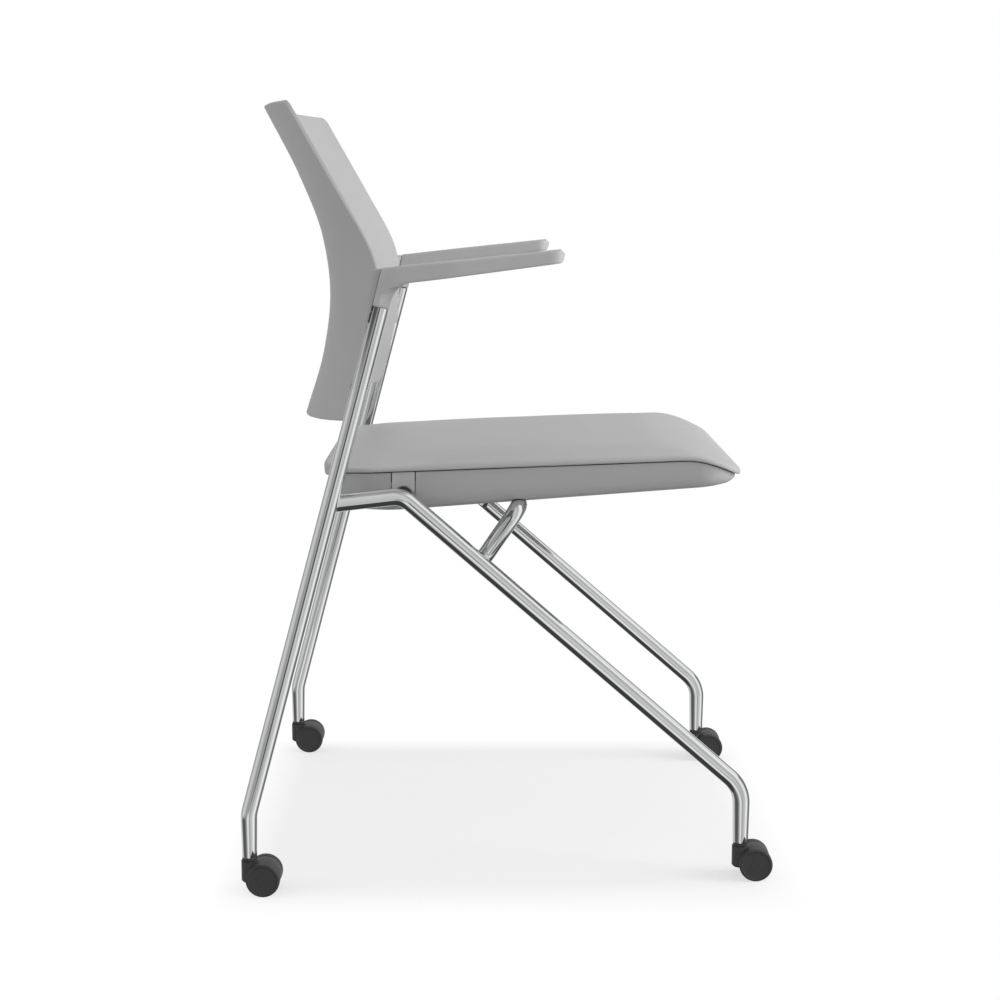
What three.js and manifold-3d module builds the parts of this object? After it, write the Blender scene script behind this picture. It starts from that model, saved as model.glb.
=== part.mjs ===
// Nesting chair: a bent tube frame on four twin-wheel casters, a one-piece back shell, two arms
// and a padded seat that tips up about a pivot on each front leg, so that chairs can nest.
// Millimetres, +X to the front, +Y to the sitter's left, +Z up. While the pieces are made, x = 0 lies on
// the rear casters' swivel axes; at the end the chair is centred over its own footprint.

import * as THREE from 'three';
import { mergeVertices } from 'three/addons/utils/BufferGeometryUtils.js';
import Module from 'manifold-3d';

const wasm = await Module();
wasm.setup();

// Fits that several pieces share
const GAP = 0.3;
const RUNNING_GAP = 0.4;
const OVERRUN = 2;

// Frame: where the legs stand and bend
const REAR_SPREAD = 568;
const REAR_TOP_SPREAD = 508;
const FRONT_SPREAD = 474.4;
const WHEELBASE = 548.5;
const REAR_FOOT_LENGTH = 48.7;
const REAR_TOP_X = 148.7;
const REAR_TOP_Z = 643;
const REAR_BEND_RADIUS = 45;
const FRONT_FOOT_LENGTH = 63.7;
const FRONT_BEND_RADIUS = 40;
const CREST_X = 169;
const CREST_Z = 436;
const CREST_BEND_RADIUS = 28;
const WELD_Z = 430;
const WELD_INBOARD = 8;

// Frame: tube sizes
const REAR_TUBE_RADIUS = 9;
const REAR_TUBE_WALL = 1.5;
const FRONT_TUBE_RADIUS = 9.5;
const FRONT_TUBE_WALL = 2;
const FOOT_TAPER = 0.9;
const CROSSBAR_RADIUS = 9.5;
const CROSSBAR_WALL = 1.5;
const CROSSBAR_BEND_RADIUS = 30;
const CROSSBAR_FORWARD = 128.3;
const CROSSBAR_DROP = 4.8;
const STRUT_ANGLE = THREE.MathUtils.degToRad(55.5);
const STRUT_BITE = 1.5;
const STRUT_TAIL = 5;

// Casters
const WHEEL_RADIUS = 18.7;
const WHEEL_WIDTH = 9;
const WHEEL_EDGE = 1.5;
const WHEEL_RIM = 2.5;
const WHEEL_DISH = 0.8;
const WHEEL_BORE_DEPTH = 7;
const CASTER_TRAIL = 15.8;
const HOOD_WIDTH = 22;
const HOOD_RIDE = 7.5;
const HOOD_SHRINK = 0.3;
const HOOD_FRONT_EDGE = 10.5;
const TOWER_RADIUS = 9.4;
const TOWER_BOTTOM = 12;
const TOWER_TOP = 36.3;
const TOWER_CHAMFER = 2;
const AXLE_RADIUS = 3;
const STEM_RADIUS = 4;
const STEM_SEAT_Z = 16;
const STEM_LENGTH = 50;
const INSERT_FLANGE = 3.3;
const INSERT_LIP = 1;
const INSERT_LENGTH = 34;

// Back shell
const BACK_BELOW_LEG_TOP = 136;
const BACK_ABOVE_LEG_TOP = 219.5;
const BACK_CLEARANCE = 2.5;
const BACK_THICKNESS = 5;
const BACK_CORNER = 8;
const BACK_BOTTOM_ARCH = 13;
const BACK_TOP_ARCH = 2;
const BOSS_REAR = 9;
const BOSS_FRONT = 4;
const BOSS_HEIGHT = 30;
const BOSS_DEPTH = 38;
const BOSS_CUP = 3.5;
const UPPER_BOSS_DROP = 33;
const LOWER_BOSS_DROP = 95;
const RIB_DROP = 16;
const RIB_WIDTH = 7;
const RIB_MARGIN = 2;

// Screws that hold shell, leg and arm together
const SCREW_RADIUS = 2;
const SCREW_HEAD_RADIUS = 3.8;
const SCREW_BELOW_TOP = 6.5;
const SCREW_GRIP = 9;
const SCREW_SOCKET_RADIUS = 1.5;
const SCREW_SOCKET_DEPTH = 1.3;

// Arms
const ARM_HEAD = 41.5;
const ARM_LENGTH = 193;
const ARM_RISE = THREE.MathUtils.degToRad(5.9);
const ARM_ROOT_THICKNESS = 18.5;
const ARM_TIP_THICKNESS = 14;
const ARM_TIP_NOSE = 3;
const ARM_NECK_HEIGHT = 13;
const ARM_FILLET = 13;
const ARM_INNER_CLEARANCE = 3.5;
const ARM_WIDTH = 44;
const ARM_ROOT_WIDTH = 19;
const ARM_FLARE = 66;
const ARM_CORNER = 16;
const ARM_SPIGOT_LENGTH = 28;

// Seat: outline in plan, seam line and depth
const PAN_SIDE_CLEARANCE = 6.7;
const PAN_REAR_X = 83;
const PAN_FRONT_X = 542.5;
const PAN_CORNER = 45;
const PAN_REAR_CORNER = 60;
const PAN_WALL = 3;
const PAN_BELLY_DROP = 17.3;
const PAN_BELLY_SLOPE_SHARE = 0.0735;
const SEAM_RISE = 26.4;
const SEAM_SLOPE_SHARE = 0.0375;
const FRONT_FALL = 21;
const FRONT_FALL_LENGTH = 58.5;
const FRONT_FALL_POWER = 1.7;
const REAR_FALL = 7;
const REAR_FALL_LENGTH = 35;
const CUSHION_OVERHANG = 3;
const CUSHION_FRONT_OVERHANG = 6;
const CUSHION_REAR_OVERHANG = 5;
const CUSHION_CROWN = 17;
const BOARD_THICKNESS = 9;
const BOARD_INSET = 9;
const BOARD_DROP = 1.4;
const RIB_THICKNESS = 2.5;

// Seat pivots, placed from the crest of the front legs
const PIVOT_FORWARD = 1;
const PIVOT_DROP = 2.3;
const STUD_RADIUS = 5;
const STUD_COLLAR_RADIUS = 8;
const BUSH_WALL = 2.2;
const BUSH_FLANGE = 1.2;
const BUSH_FLANGE_RADIUS = 9.5;
const BLOCK_DEPTH = 22;
const BLOCK_WIDTH = 34;
const BLOCK_RISE = 16;
const COVER_WIDTH = 25;
const COVER_FOOT_RISE = 4.5;
const ARCH_RADIUS = 11;
const CLIP_WIDTH = 2;
const CLIP_RADIUS = 8.5;
const STUD_END = 2;

// Rests between the seat pan and the crossbar
const REST_THICKNESS = 1.9;
const REST_LENGTH = 30;
const REST_SPREAD = 300;
const GROOVE_CLEARANCE = 1;

// Facets
const ROUND_SEGMENTS = 9;
const TURNED_SEGMENTS = 16;
const WHEEL_SEGMENTS = 28;
const BEND_STEPS = 5;
const CORNER_STEPS = 5;

const FULL_TURN = 2 * Math.PI;
const QUARTER_TURN = Math.PI / 2;
const SIDES = [{ name: 'right', sign: -1 }, { name: 'left', sign: 1 }];

// Places that follow from the sizes above
const CASTER_HEIGHT = TOWER_TOP + RUNNING_GAP + INSERT_FLANGE + GAP;
const REAR_BORE = REAR_TUBE_RADIUS - REAR_TUBE_WALL;
const FRONT_BORE = FRONT_TUBE_RADIUS - FRONT_TUBE_WALL;
const BACK_HALF = REAR_TOP_SPREAD / 2 - REAR_TUBE_RADIUS - BACK_CLEARANCE;
const PAN_HALF = FRONT_SPREAD / 2 - FRONT_TUBE_RADIUS - PAN_SIDE_CLEARANCE;
const BACK_BOTTOM = REAR_TOP_Z - BACK_BELOW_LEG_TOP;
const BACK_TOP = REAR_TOP_Z + BACK_ABOVE_LEG_TOP;
const RIB_BOTTOM = REAR_TOP_Z - RIB_DROP;
const RIB_TOP = REAR_TOP_Z + ARM_HEAD;
const RIB_REACH = REAR_TOP_SPREAD / 2 + SCREW_HEAD_RADIUS + RIB_MARGIN;
const PIVOT_X = CREST_X + PIVOT_FORWARD;
const PIVOT_Z = CREST_Z - PIVOT_DROP;
const GROOVE_RADIUS = CROSSBAR_RADIUS + GROOVE_CLEARANCE;
const POCKET_RADIUS = CROSSBAR_RADIUS + REST_THICKNESS + 2 * GAP;

const v3 = (x, y, z) => new THREE.Vector3(x, y, z);
const v2 = (x, y) => new THREE.Vector2(x, y);

const CHROME = new THREE.MeshStandardMaterial({ color: 0xc9cbcd, roughness: 0.12, metalness: 1 });
const ZINC = new THREE.MeshStandardMaterial({ color: 0xa7a9ab, roughness: 0.35, metalness: 1 });
const GREY_PLASTIC = new THREE.MeshStandardMaterial({ color: 0xa3a3a3, roughness: 0.5, metalness: 0 });
const DARK_PLASTIC = new THREE.MeshStandardMaterial({ color: 0x3c3c3c, roughness: 0.55, metalness: 0 });
const RUBBER = new THREE.MeshStandardMaterial({ color: 0x2b2b2b, roughness: 0.8, metalness: 0 });
const UPHOLSTERY = new THREE.MeshStandardMaterial({ color: 0xb4b4b4, roughness: 0.7, metalness: 0 });
const PLYWOOD = new THREE.MeshStandardMaterial({ color: 0xc8a878, roughness: 0.8, metalness: 0 });

// A closed geometry as a solid that can be joined and cut
function solidOf(geometry) {
  const bare = geometry.clone();
  bare.deleteAttribute('normal');
  bare.deleteAttribute('uv');
  const merged = mergeVertices(bare);
  const corners = merged.index.array;
  const kept = [];
  for (let i = 0; i < corners.length; i += 3) {
    const [a, b, c] = [corners[i], corners[i + 1], corners[i + 2]];
    if (a !== b && b !== c && c !== a) kept.push(a, b, c);
  }
  return new wasm.Manifold(new wasm.Mesh({
    numProp: 3,
    vertProperties: Float32Array.from(merged.attributes.position.array),
    triVerts: Uint32Array.from(kept),
  }));
}

function geometryOf(solid) {
  const mesh = solid.getMesh();
  const geometry = new THREE.BufferGeometry();
  geometry.setAttribute('position', new THREE.BufferAttribute(mesh.vertProperties, 3));
  geometry.setIndex(new THREE.BufferAttribute(mesh.triVerts, 1));
  geometry.computeVertexNormals();
  return geometry;
}

const joined = (solids) => solids.reduce((sum, solid) => sum.add(solid));
const cutBy = (solid, cutters) => cutters.reduce((rest, cutter) => rest.subtract(cutter), solid);

// A round bar between two points
function rod(from, to, radius, segments = TURNED_SEGMENTS) {
  const along = to.clone().sub(from);
  const geometry = new THREE.CylinderGeometry(radius, radius, along.length(), segments);
  geometry.translate(0, along.length() / 2, 0);
  geometry.applyQuaternion(new THREE.Quaternion().setFromUnitVectors(v3(0, 1, 0), along.normalize()));
  geometry.translate(from.x, from.y, from.z);
  return solidOf(geometry);
}

// A turned piece from a closed profile of radius and height, its axis along the given direction
function turned(profile, base, direction, segments = TURNED_SEGMENTS) {
  const points = profile.map(([radius, height]) => v2(radius, height));
  const geometry = new THREE.LatheGeometry(points, segments, Math.PI / segments);
  geometry.applyQuaternion(new THREE.Quaternion().setFromUnitVectors(v3(0, 1, 0), direction));
  geometry.translate(base.x, base.y, base.z);
  return solidOf(geometry);
}

function box(from, to) {
  const size = to.clone().sub(from);
  const geometry = new THREE.BoxGeometry(Math.abs(size.x), Math.abs(size.y), Math.abs(size.z));
  geometry.translate((from.x + to.x) / 2, (from.y + to.y) / 2, (from.z + to.z) / 2);
  return solidOf(geometry);
}

function extruded(shape, depth) {
  return new THREE.ExtrudeGeometry(shape, { depth, bevelEnabled: false, curveSegments: CORNER_STEPS });
}

// Extrusions of an outline drawn in the side view (x, z), the plan (x, y) and the front view (y, z)
function sideSlab(shape, yFrom, yTo) {
  const geometry = extruded(shape, Math.abs(yTo - yFrom));
  geometry.rotateX(QUARTER_TURN);
  geometry.translate(0, Math.max(yFrom, yTo), 0);
  return solidOf(geometry);
}

function planSlab(shape, zFrom, zTo) {
  const geometry = extruded(shape, zTo - zFrom);
  geometry.translate(0, 0, zFrom);
  return solidOf(geometry);
}

function frontSlab(shape, xFrom, xTo) {
  const geometry = extruded(shape, xTo - xFrom);
  geometry.applyMatrix4(new THREE.Matrix4().makeBasis(v3(0, 1, 0), v3(0, 0, 1), v3(1, 0, 0)));
  geometry.translate(xFrom, 0, 0);
  return solidOf(geometry);
}

// Straight runs joined by arcs, sampled only where the direction changes
class BentRoute extends THREE.Curve {
  constructor(corners, radii) {
    super();
    this.places = [corners[0]];
    this.headings = [corners[1].clone().sub(corners[0]).normalize()];
    for (let i = 1; i < corners.length - 1; i += 1) this.addBend(corners, i, radii[i - 1]);
    this.places.push(corners.at(-1));
    this.headings.push(corners.at(-1).clone().sub(corners.at(-2)).normalize());
  }

  addBend(corners, i, radius) {
    const before = corners[i].clone().sub(corners[i - 1]).normalize();
    const after = corners[i + 1].clone().sub(corners[i]).normalize();
    const turn = before.angleTo(after);
    const reach = radius * Math.tan(turn / 2);
    const start = corners[i].clone().addScaledVector(before, -reach);
    const inward = after.clone().addScaledVector(before, -after.dot(before)).normalize();
    const centre = start.clone().addScaledVector(inward, radius);
    for (let step = 0; step <= BEND_STEPS; step += 1) {
      const angle = turn * step / BEND_STEPS;
      const place = centre.clone().addScaledVector(inward, -radius * Math.cos(angle));
      this.places.push(place.addScaledVector(before, radius * Math.sin(angle)));
      const heading = before.clone().multiplyScalar(Math.cos(angle));
      this.headings.push(heading.addScaledVector(inward, Math.sin(angle)));
    }
  }

  getPointAt(u, target = v3(0, 0, 0)) {
    return target.copy(this.places[Math.round(u * (this.places.length - 1))]);
  }

  getTangentAt(u, target = v3(0, 0, 0)) {
    return target.copy(this.headings[Math.round(u * (this.headings.length - 1))]);
  }
}

// A tube along a bent route, or a solid bar where no bore is given
function tubeGeometry(route, radius, bore = 0) {
  const section = new THREE.Shape();
  section.absarc(0, 0, radius, 0, FULL_TURN);
  if (bore > 0) section.holes.push(new THREE.Path().absarc(0, 0, bore, 0, FULL_TURN, true));
  const steps = route.places.length - 1;
  return new THREE.ExtrudeGeometry(section, { steps, curveSegments: ROUND_SEGMENTS, extrudePath: route });
}

// Legs

const rearBend = (sign) => v3(0, sign * REAR_SPREAD / 2, CASTER_HEIGHT + REAR_FOOT_LENGTH);
const rearTop = (sign) => v3(REAR_TOP_X, sign * REAR_TOP_SPREAD / 2, REAR_TOP_Z);
const rearHeading = (sign) => rearTop(sign).sub(rearBend(sign)).normalize();

// The rear leg's axis at a height, on its straight run or that run's extension
function rearAxisAt(sign, z) {
  const bend = rearBend(sign);
  return bend.clone().lerp(rearTop(sign), (z - bend.z) / (REAR_TOP_Z - bend.z));
}

const crest = (sign) => v3(CREST_X, sign * FRONT_SPREAD / 2, CREST_Z);
const frontBend = (sign) => v3(WHEELBASE, sign * FRONT_SPREAD / 2, CASTER_HEIGHT + FRONT_FOOT_LENGTH);

// The rear leg's straight run as a bar, for what has to clear it
function rearRun(sign, radius) {
  const heading = rearHeading(sign);
  const far = rearTop(sign).addScaledVector(heading, ARM_HEAD);
  return rod(rearBend(sign), far, radius, 2 * ROUND_SEGMENTS);
}

// Draws the outer edge of a leg's foot in, so that its straight part tapers down to the caster
function taperFoot(geometry, foot, bore) {
  const places = geometry.attributes.position;
  for (let i = 0; i < places.count; i += 1) {
    const out = v2(places.getX(i) - foot.x, places.getY(i) - foot.y);
    const atFoot = Math.abs(places.getZ(i) - foot.z) < GAP;
    if (!atFoot || out.length() < bore + GAP) continue;
    out.setLength(out.length() - FOOT_TAPER);
    places.setXY(i, foot.x + out.x, foot.y + out.y);
  }
}

function rearLeg(sign) {
  const foot = v3(0, sign * REAR_SPREAD / 2, CASTER_HEIGHT);
  const route = new BentRoute([foot, rearBend(sign), rearTop(sign)], [REAR_BEND_RADIUS]);
  const tube = tubeGeometry(route, REAR_TUBE_RADIUS, REAR_BORE);
  taperFoot(tube, foot, REAR_BORE);
  return solidOf(tube).subtract(backScrewHole(sign));
}

function frontLeg(sign) {
  const foot = v3(WHEELBASE, sign * FRONT_SPREAD / 2, CASTER_HEIGHT);
  const weld = rearAxisAt(sign, WELD_Z);
  weld.y -= sign * WELD_INBOARD;
  const corners = [weld, crest(sign), frontBend(sign), foot];
  const route = new BentRoute(corners, [CREST_BEND_RADIUS, FRONT_BEND_RADIUS]);
  const tube = tubeGeometry(route, FRONT_TUBE_RADIUS, FRONT_BORE);
  taperFoot(tube, foot, FRONT_BORE);
  return solidOf(tube).subtract(rearRun(sign, REAR_TUBE_RADIUS + GAP));
}

// The seat pan's underside and seam at a place along the seat, before the ends fall away
const bellyAt = (x) => PIVOT_Z - PAN_BELLY_DROP + PAN_BELLY_SLOPE_SHARE * (x - PIVOT_X);

const rearFallAt = (x) => REAR_FALL * Math.max(0, (PAN_REAR_X + REAR_FALL_LENGTH - x) / REAR_FALL_LENGTH) ** 2;

function frontFallAt(x) {
  const pastBend = Math.max(0, (x - PAN_FRONT_X + FRONT_FALL_LENGTH) / FRONT_FALL_LENGTH);
  return FRONT_FALL * pastBend ** FRONT_FALL_POWER;
}

function seamAt(x) {
  const straight = PIVOT_Z + SEAM_RISE + SEAM_SLOPE_SHARE * (x - PIVOT_X);
  return straight - frontFallAt(x) - rearFallAt(x);
}

// The crossbar: a strut up from each front leg, bent across under the seat
const crossbarX = PIVOT_X + CROSSBAR_FORWARD;
const crossbarZ = bellyAt(crossbarX) - CROSSBAR_DROP;

function crossbarRoute() {
  const slope = (frontBend(1).z - CREST_Z) / (WHEELBASE - CREST_X);
  const legHeight = CREST_Z + slope * (crossbarX - CREST_X);
  const run = (crossbarZ - legHeight) / (Math.tan(STRUT_ANGLE) - slope) + STRUT_TAIL * Math.cos(STRUT_ANGLE);
  const y = FRONT_SPREAD / 2 - FRONT_TUBE_RADIUS - CROSSBAR_RADIUS + STRUT_BITE;
  const foot = (sign) => v3(crossbarX - run, sign * y, crossbarZ - run * Math.tan(STRUT_ANGLE));
  const corners = [foot(-1), v3(crossbarX, -y, crossbarZ), v3(crossbarX, y, crossbarZ), foot(1)];
  return new BentRoute(corners, [CROSSBAR_BEND_RADIUS, CROSSBAR_BEND_RADIUS]);
}

function crossbar() {
  const legs = SIDES.map(({ sign }) => rod(crest(sign), frontBend(sign), FRONT_TUBE_RADIUS + GAP));
  const bar = tubeGeometry(crossbarRoute(), CROSSBAR_RADIUS, CROSSBAR_RADIUS - CROSSBAR_WALL);
  return cutBy(solidOf(bar), legs);
}

// Casters

function casterInsert(foot, bore) {
  const hole = STEM_RADIUS + GAP;
  const body = bore - GAP;
  const flange = body + INSERT_LIP;
  const profile = [
    [hole, -GAP - INSERT_FLANGE],
    [flange, -GAP - INSERT_FLANGE],
    [flange, -GAP],
    [body, -GAP],
    [body, INSERT_LENGTH],
    [hole, INSERT_LENGTH],
    [hole, -GAP - INSERT_FLANGE],
  ];
  return turned(profile, foot, v3(0, 0, 1));
}

function casterStem(foot) {
  const base = v3(foot.x, foot.y, STEM_SEAT_Z + GAP);
  const tip = STEM_RADIUS / 2;
  const profile = [
    [0, 0],
    [STEM_RADIUS, 0],
    [STEM_RADIUS, STEM_LENGTH - tip],
    [STEM_RADIUS - tip, STEM_LENGTH],
    [0, STEM_LENGTH],
  ];
  return turned(profile, base, v3(0, 0, 1));
}

// The hood: a round cheek between the wheels, joined to the tower that turns on the stem
function casterHood(foot) {
  const axle = v3(foot.x + CASTER_TRAIL, foot.y, WHEEL_RADIUS);
  const half = HOOD_WIDTH / 2;
  const acrossY = (offset) => v3(axle.x, foot.y + offset, axle.z);
  const cheek = rod(acrossY(-half), acrossY(half), WHEEL_RADIUS - HOOD_SHRINK, WHEEL_SEGMENTS);
  const reach = 2 * WHEEL_RADIUS;
  const low = v3(foot.x - reach, foot.y - reach, -reach);
  const floorCut = box(low, v3(axle.x + reach, foot.y + reach, HOOD_RIDE));
  const edge = foot.x + HOOD_FRONT_EDGE;
  const stepCut = box(v3(foot.x - reach, foot.y - reach, TOWER_TOP), v3(edge, foot.y + reach, 2 * reach));
  const profile = [
    [0, TOWER_BOTTOM],
    [TOWER_RADIUS - TOWER_CHAMFER, TOWER_BOTTOM],
    [TOWER_RADIUS, TOWER_BOTTOM + TOWER_CHAMFER],
    [TOWER_RADIUS, TOWER_TOP],
    [0, TOWER_TOP],
  ];
  const tower = turned(profile, v3(foot.x, foot.y, 0), v3(0, 0, 1));
  const stemTop = v3(foot.x, foot.y, TOWER_TOP + OVERRUN);
  const stemHole = rod(v3(foot.x, foot.y, STEM_SEAT_Z), stemTop, STEM_RADIUS + RUNNING_GAP);
  const axleHole = rod(acrossY(-half - OVERRUN), acrossY(half + OVERRUN), AXLE_RADIUS + GAP);
  return cutBy(cutBy(cheek, [floorCut, stepCut]).add(tower), [stemHole, axleHole]);
}

function casterAxle(foot) {
  const half = HOOD_WIDTH / 2 + RUNNING_GAP + WHEEL_BORE_DEPTH - GAP;
  const x = foot.x + CASTER_TRAIL;
  return rod(v3(x, foot.y - half, WHEEL_RADIUS), v3(x, foot.y + half, WHEEL_RADIUS), AXLE_RADIUS);
}

// A wheel with a rounded outer edge, a dished outer face and a blind bore from its inner face; the tread's
// facets lie at the wheel's radius, and one of them is flat on the floor
function casterWheel(foot, outward) {
  const bore = AXLE_RADIUS + RUNNING_GAP;
  const rimInner = WHEEL_RADIUS - WHEEL_RIM;
  const tread = WHEEL_RADIUS / Math.cos(Math.PI / WHEEL_SEGMENTS);
  const profile = [
    [bore, 0],
    [tread, 0],
    [tread, WHEEL_WIDTH - WHEEL_EDGE],
    [WHEEL_RADIUS - WHEEL_EDGE, WHEEL_WIDTH],
    [rimInner, WHEEL_WIDTH],
    [rimInner - WHEEL_DISH, WHEEL_WIDTH - WHEEL_DISH],
    [0, WHEEL_WIDTH - WHEEL_DISH],
    [0, WHEEL_BORE_DEPTH],
    [bore, WHEEL_BORE_DEPTH],
    [bore, 0],
  ];
  const inner = foot.y + outward * (HOOD_WIDTH / 2 + RUNNING_GAP);
  return turned(profile, v3(foot.x + CASTER_TRAIL, inner, WHEEL_RADIUS), v3(0, outward, 0), WHEEL_SEGMENTS);
}

// Back shell

const BACK_ROWS = 14;
const BACK_COLUMNS = 16;
const BACK_WRAP_POWER = 2.2;
// Places of the shell's spine and of its side edges, from bottom to top, as shares of the rear legs' lean
const spineShares = [0.309, 0.454, 0.513, 0.453, 0.272, 0.027];
const edgeShares = [0.79, 0.91, 0.962, 0.861, 0.58, 0.326];

// A smooth curve through evenly spaced shares
function smoothShare(shares, t) {
  const points = shares.map((share, i) => v3(i / (shares.length - 1), share, 0));
  return new THREE.CatmullRomCurve3(points).getPoint(t).y;
}

// A place on the rear face of the shell: across runs from -1 to 1 and up from 0 to 1
function backPlace(across, up) {
  const bottom = BACK_BOTTOM + BACK_BOTTOM_ARCH * across ** 2;
  const top = BACK_TOP - BACK_TOP_ARCH * across ** 2;
  const spine = smoothShare(spineShares, up) * REAR_TOP_X;
  const edge = smoothShare(edgeShares, up) * REAR_TOP_X;
  const x = spine + (edge - spine) * Math.abs(across) ** BACK_WRAP_POWER;
  return v3(x, across * BACK_HALF, bottom + (top - bottom) * up);
}

// The same place moved forward along the shell's normal
function backOffset(across, up, distance) {
  const step = 1 / (2 * BACK_ROWS);
  const low = Math.max(0, up - step);
  const high = Math.min(1, up + step);
  const upward = backPlace(across, high).sub(backPlace(across, low));
  const sideways = backPlace(Math.min(1, across + step), up).sub(backPlace(Math.max(-1, across - step), up));
  return backPlace(across, up).addScaledVector(sideways.cross(upward).normalize(), distance);
}

// A solid between two grids of points with the same rows and columns
function sheetSolid(rear, front) {
  const rows = rear.length;
  const columns = rear[0].length;
  const vertices = [...rear.flat(), ...front.flat()];
  const rearAt = (i, j) => i * columns + j;
  const frontAt = (i, j) => rows * columns + i * columns + j;
  const triangles = [];
  const quad = (a, b, c, d) => triangles.push(a, b, c, a, c, d);
  for (let i = 0; i < rows - 1; i += 1) {
    for (let j = 0; j < columns - 1; j += 1) {
      quad(rearAt(i, j), rearAt(i + 1, j), rearAt(i + 1, j + 1), rearAt(i, j + 1));
      quad(frontAt(i, j), frontAt(i, j + 1), frontAt(i + 1, j + 1), frontAt(i + 1, j));
    }
    quad(rearAt(i, 0), frontAt(i, 0), frontAt(i + 1, 0), rearAt(i + 1, 0));
    const last = columns - 1;
    quad(rearAt(i, last), rearAt(i + 1, last), frontAt(i + 1, last), frontAt(i, last));
  }
  for (let j = 0; j < columns - 1; j += 1) {
    const last = rows - 1;
    quad(rearAt(0, j), rearAt(0, j + 1), frontAt(0, j + 1), frontAt(0, j));
    quad(rearAt(last, j), frontAt(last, j), frontAt(last, j + 1), rearAt(last, j + 1));
  }
  return solidOf(indexed(vertices, triangles));
}

function indexed(vertices, triangles) {
  const geometry = new THREE.BufferGeometry();
  geometry.setFromPoints(vertices);
  geometry.setIndex(triangles);
  return geometry;
}

function backGrid(place) {
  const rows = [];
  for (let i = 0; i <= BACK_ROWS; i += 1) {
    const row = [];
    for (let j = 0; j <= BACK_COLUMNS; j += 1) row.push(place(2 * j / BACK_COLUMNS - 1, i / BACK_ROWS));
    rows.push(row);
  }
  return rows;
}

function roundedRectangle(x0, y0, x1, y1, radius) {
  const shape = new THREE.Shape();
  shape.absarc(x1 - radius, y0 + radius, radius, -QUARTER_TURN, 0);
  shape.absarc(x1 - radius, y1 - radius, radius, 0, QUARTER_TURN);
  shape.absarc(x0 + radius, y1 - radius, radius, QUARTER_TURN, Math.PI);
  shape.absarc(x0 + radius, y0 + radius, radius, Math.PI, Math.PI + QUARTER_TURN);
  shape.closePath();
  return shape;
}

// A block on the shell's side that meets a rear leg
function backBoss(sign, drop) {
  const z = REAR_TOP_Z - drop;
  const axis = rearAxisAt(sign, z);
  const [low, high] = [z - BOSS_HEIGHT / 2, z + BOSS_HEIGHT / 2];
  const shape = roundedRectangle(axis.x - BOSS_REAR, low, axis.x + BOSS_FRONT, high, BOSS_FRONT);
  return sideSlab(shape, axis.y - sign * BOSS_DEPTH, axis.y - sign * (REAR_TUBE_RADIUS - BOSS_CUP));
}

// A rib on the shell that stands behind the leg's top and the root of the arm
function backRib(sign) {
  const offset = REAR_TUBE_RADIUS + GAP;
  const front = (z) => rearAxisAt(sign, z).x - offset / rearHeading(sign).z;
  const rear = (z) => front(z) - RIB_WIDTH;
  const shape = new THREE.Shape();
  shape.moveTo(front(RIB_BOTTOM), RIB_BOTTOM);
  shape.lineTo(front(RIB_TOP), RIB_TOP);
  shape.lineTo(rear(RIB_TOP), RIB_TOP);
  shape.lineTo(rear(RIB_BOTTOM + RIB_WIDTH), RIB_BOTTOM + RIB_WIDTH);
  shape.quadraticCurveTo(rear(RIB_BOTTOM), RIB_BOTTOM, front(RIB_BOTTOM), RIB_BOTTOM);
  return sideSlab(shape, sign * (RIB_REACH - BOSS_DEPTH), sign * RIB_REACH);
}

// The back screw's line: square to the leg, from the rib's rear face forwards
function screwLine(sign) {
  const heading = rearHeading(sign);
  const forward = v3(heading.z, 0, -heading.x).normalize();
  const middle = rearTop(sign).addScaledVector(heading, -SCREW_BELOW_TOP);
  const reach = REAR_TUBE_RADIUS + GAP + RIB_WIDTH * forward.x;
  return { start: middle.clone().addScaledVector(forward, -reach), forward };
}

function backScrew(sign) {
  const { start, forward } = screwLine(sign);
  const headDepth = SCREW_HEAD_RADIUS - SCREW_RADIUS;
  const length = RIB_WIDTH + REAR_TUBE_WALL + SCREW_GRIP;
  const profile = [
    [0, SCREW_SOCKET_DEPTH],
    [SCREW_SOCKET_RADIUS, SCREW_SOCKET_DEPTH],
    [SCREW_SOCKET_RADIUS, 0],
    [SCREW_HEAD_RADIUS, 0],
    [SCREW_RADIUS, headDepth],
    [SCREW_RADIUS, length],
    [0, length],
  ];
  return turned(profile, start, forward);
}

// The hole for a back screw, countersunk where it starts
function backScrewHole(sign) {
  const { start, forward } = screwLine(sign);
  const hole = SCREW_RADIUS + GAP;
  const head = SCREW_HEAD_RADIUS + GAP;
  const headDepth = SCREW_HEAD_RADIUS - SCREW_RADIUS;
  const length = RIB_WIDTH + REAR_TUBE_WALL + SCREW_GRIP + GAP;
  const profile = [[0, -OVERRUN], [head, -OVERRUN], [head, 0], [hole, headDepth], [hole, length], [0, length]];
  return turned(profile, start, forward);
}

function backShell() {
  const face = (across, up) => backOffset(across, up, BACK_THICKNESS);
  const forward = (across, up) => face(across, up).setX(REAR_TOP_X + BOSS_DEPTH);
  const shell = sheetSolid(backGrid(backPlace), backGrid(face));
  const inside = sheetSolid(backGrid(face), backGrid(forward));
  const outline = roundedRectangle(-BACK_HALF, BACK_BOTTOM, BACK_HALF, BACK_TOP, BACK_CORNER);
  const blank = frontSlab(outline, -BACK_THICKNESS * 2, REAR_TOP_X + BOSS_DEPTH);
  const mounts = SIDES.flatMap(({ sign }) => [
    backBoss(sign, UPPER_BOSS_DROP),
    backBoss(sign, LOWER_BOSS_DROP),
    backRib(sign),
  ]);
  const legs = SIDES.map(({ sign }) => rearRun(sign, REAR_TUBE_RADIUS + GAP));
  const screws = SIDES.map(({ sign }) => backScrewHole(sign));
  return shell.intersect(blank).add(cutBy(joined(mounts), [inside, ...legs, ...screws]));
}

// Arms

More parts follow.
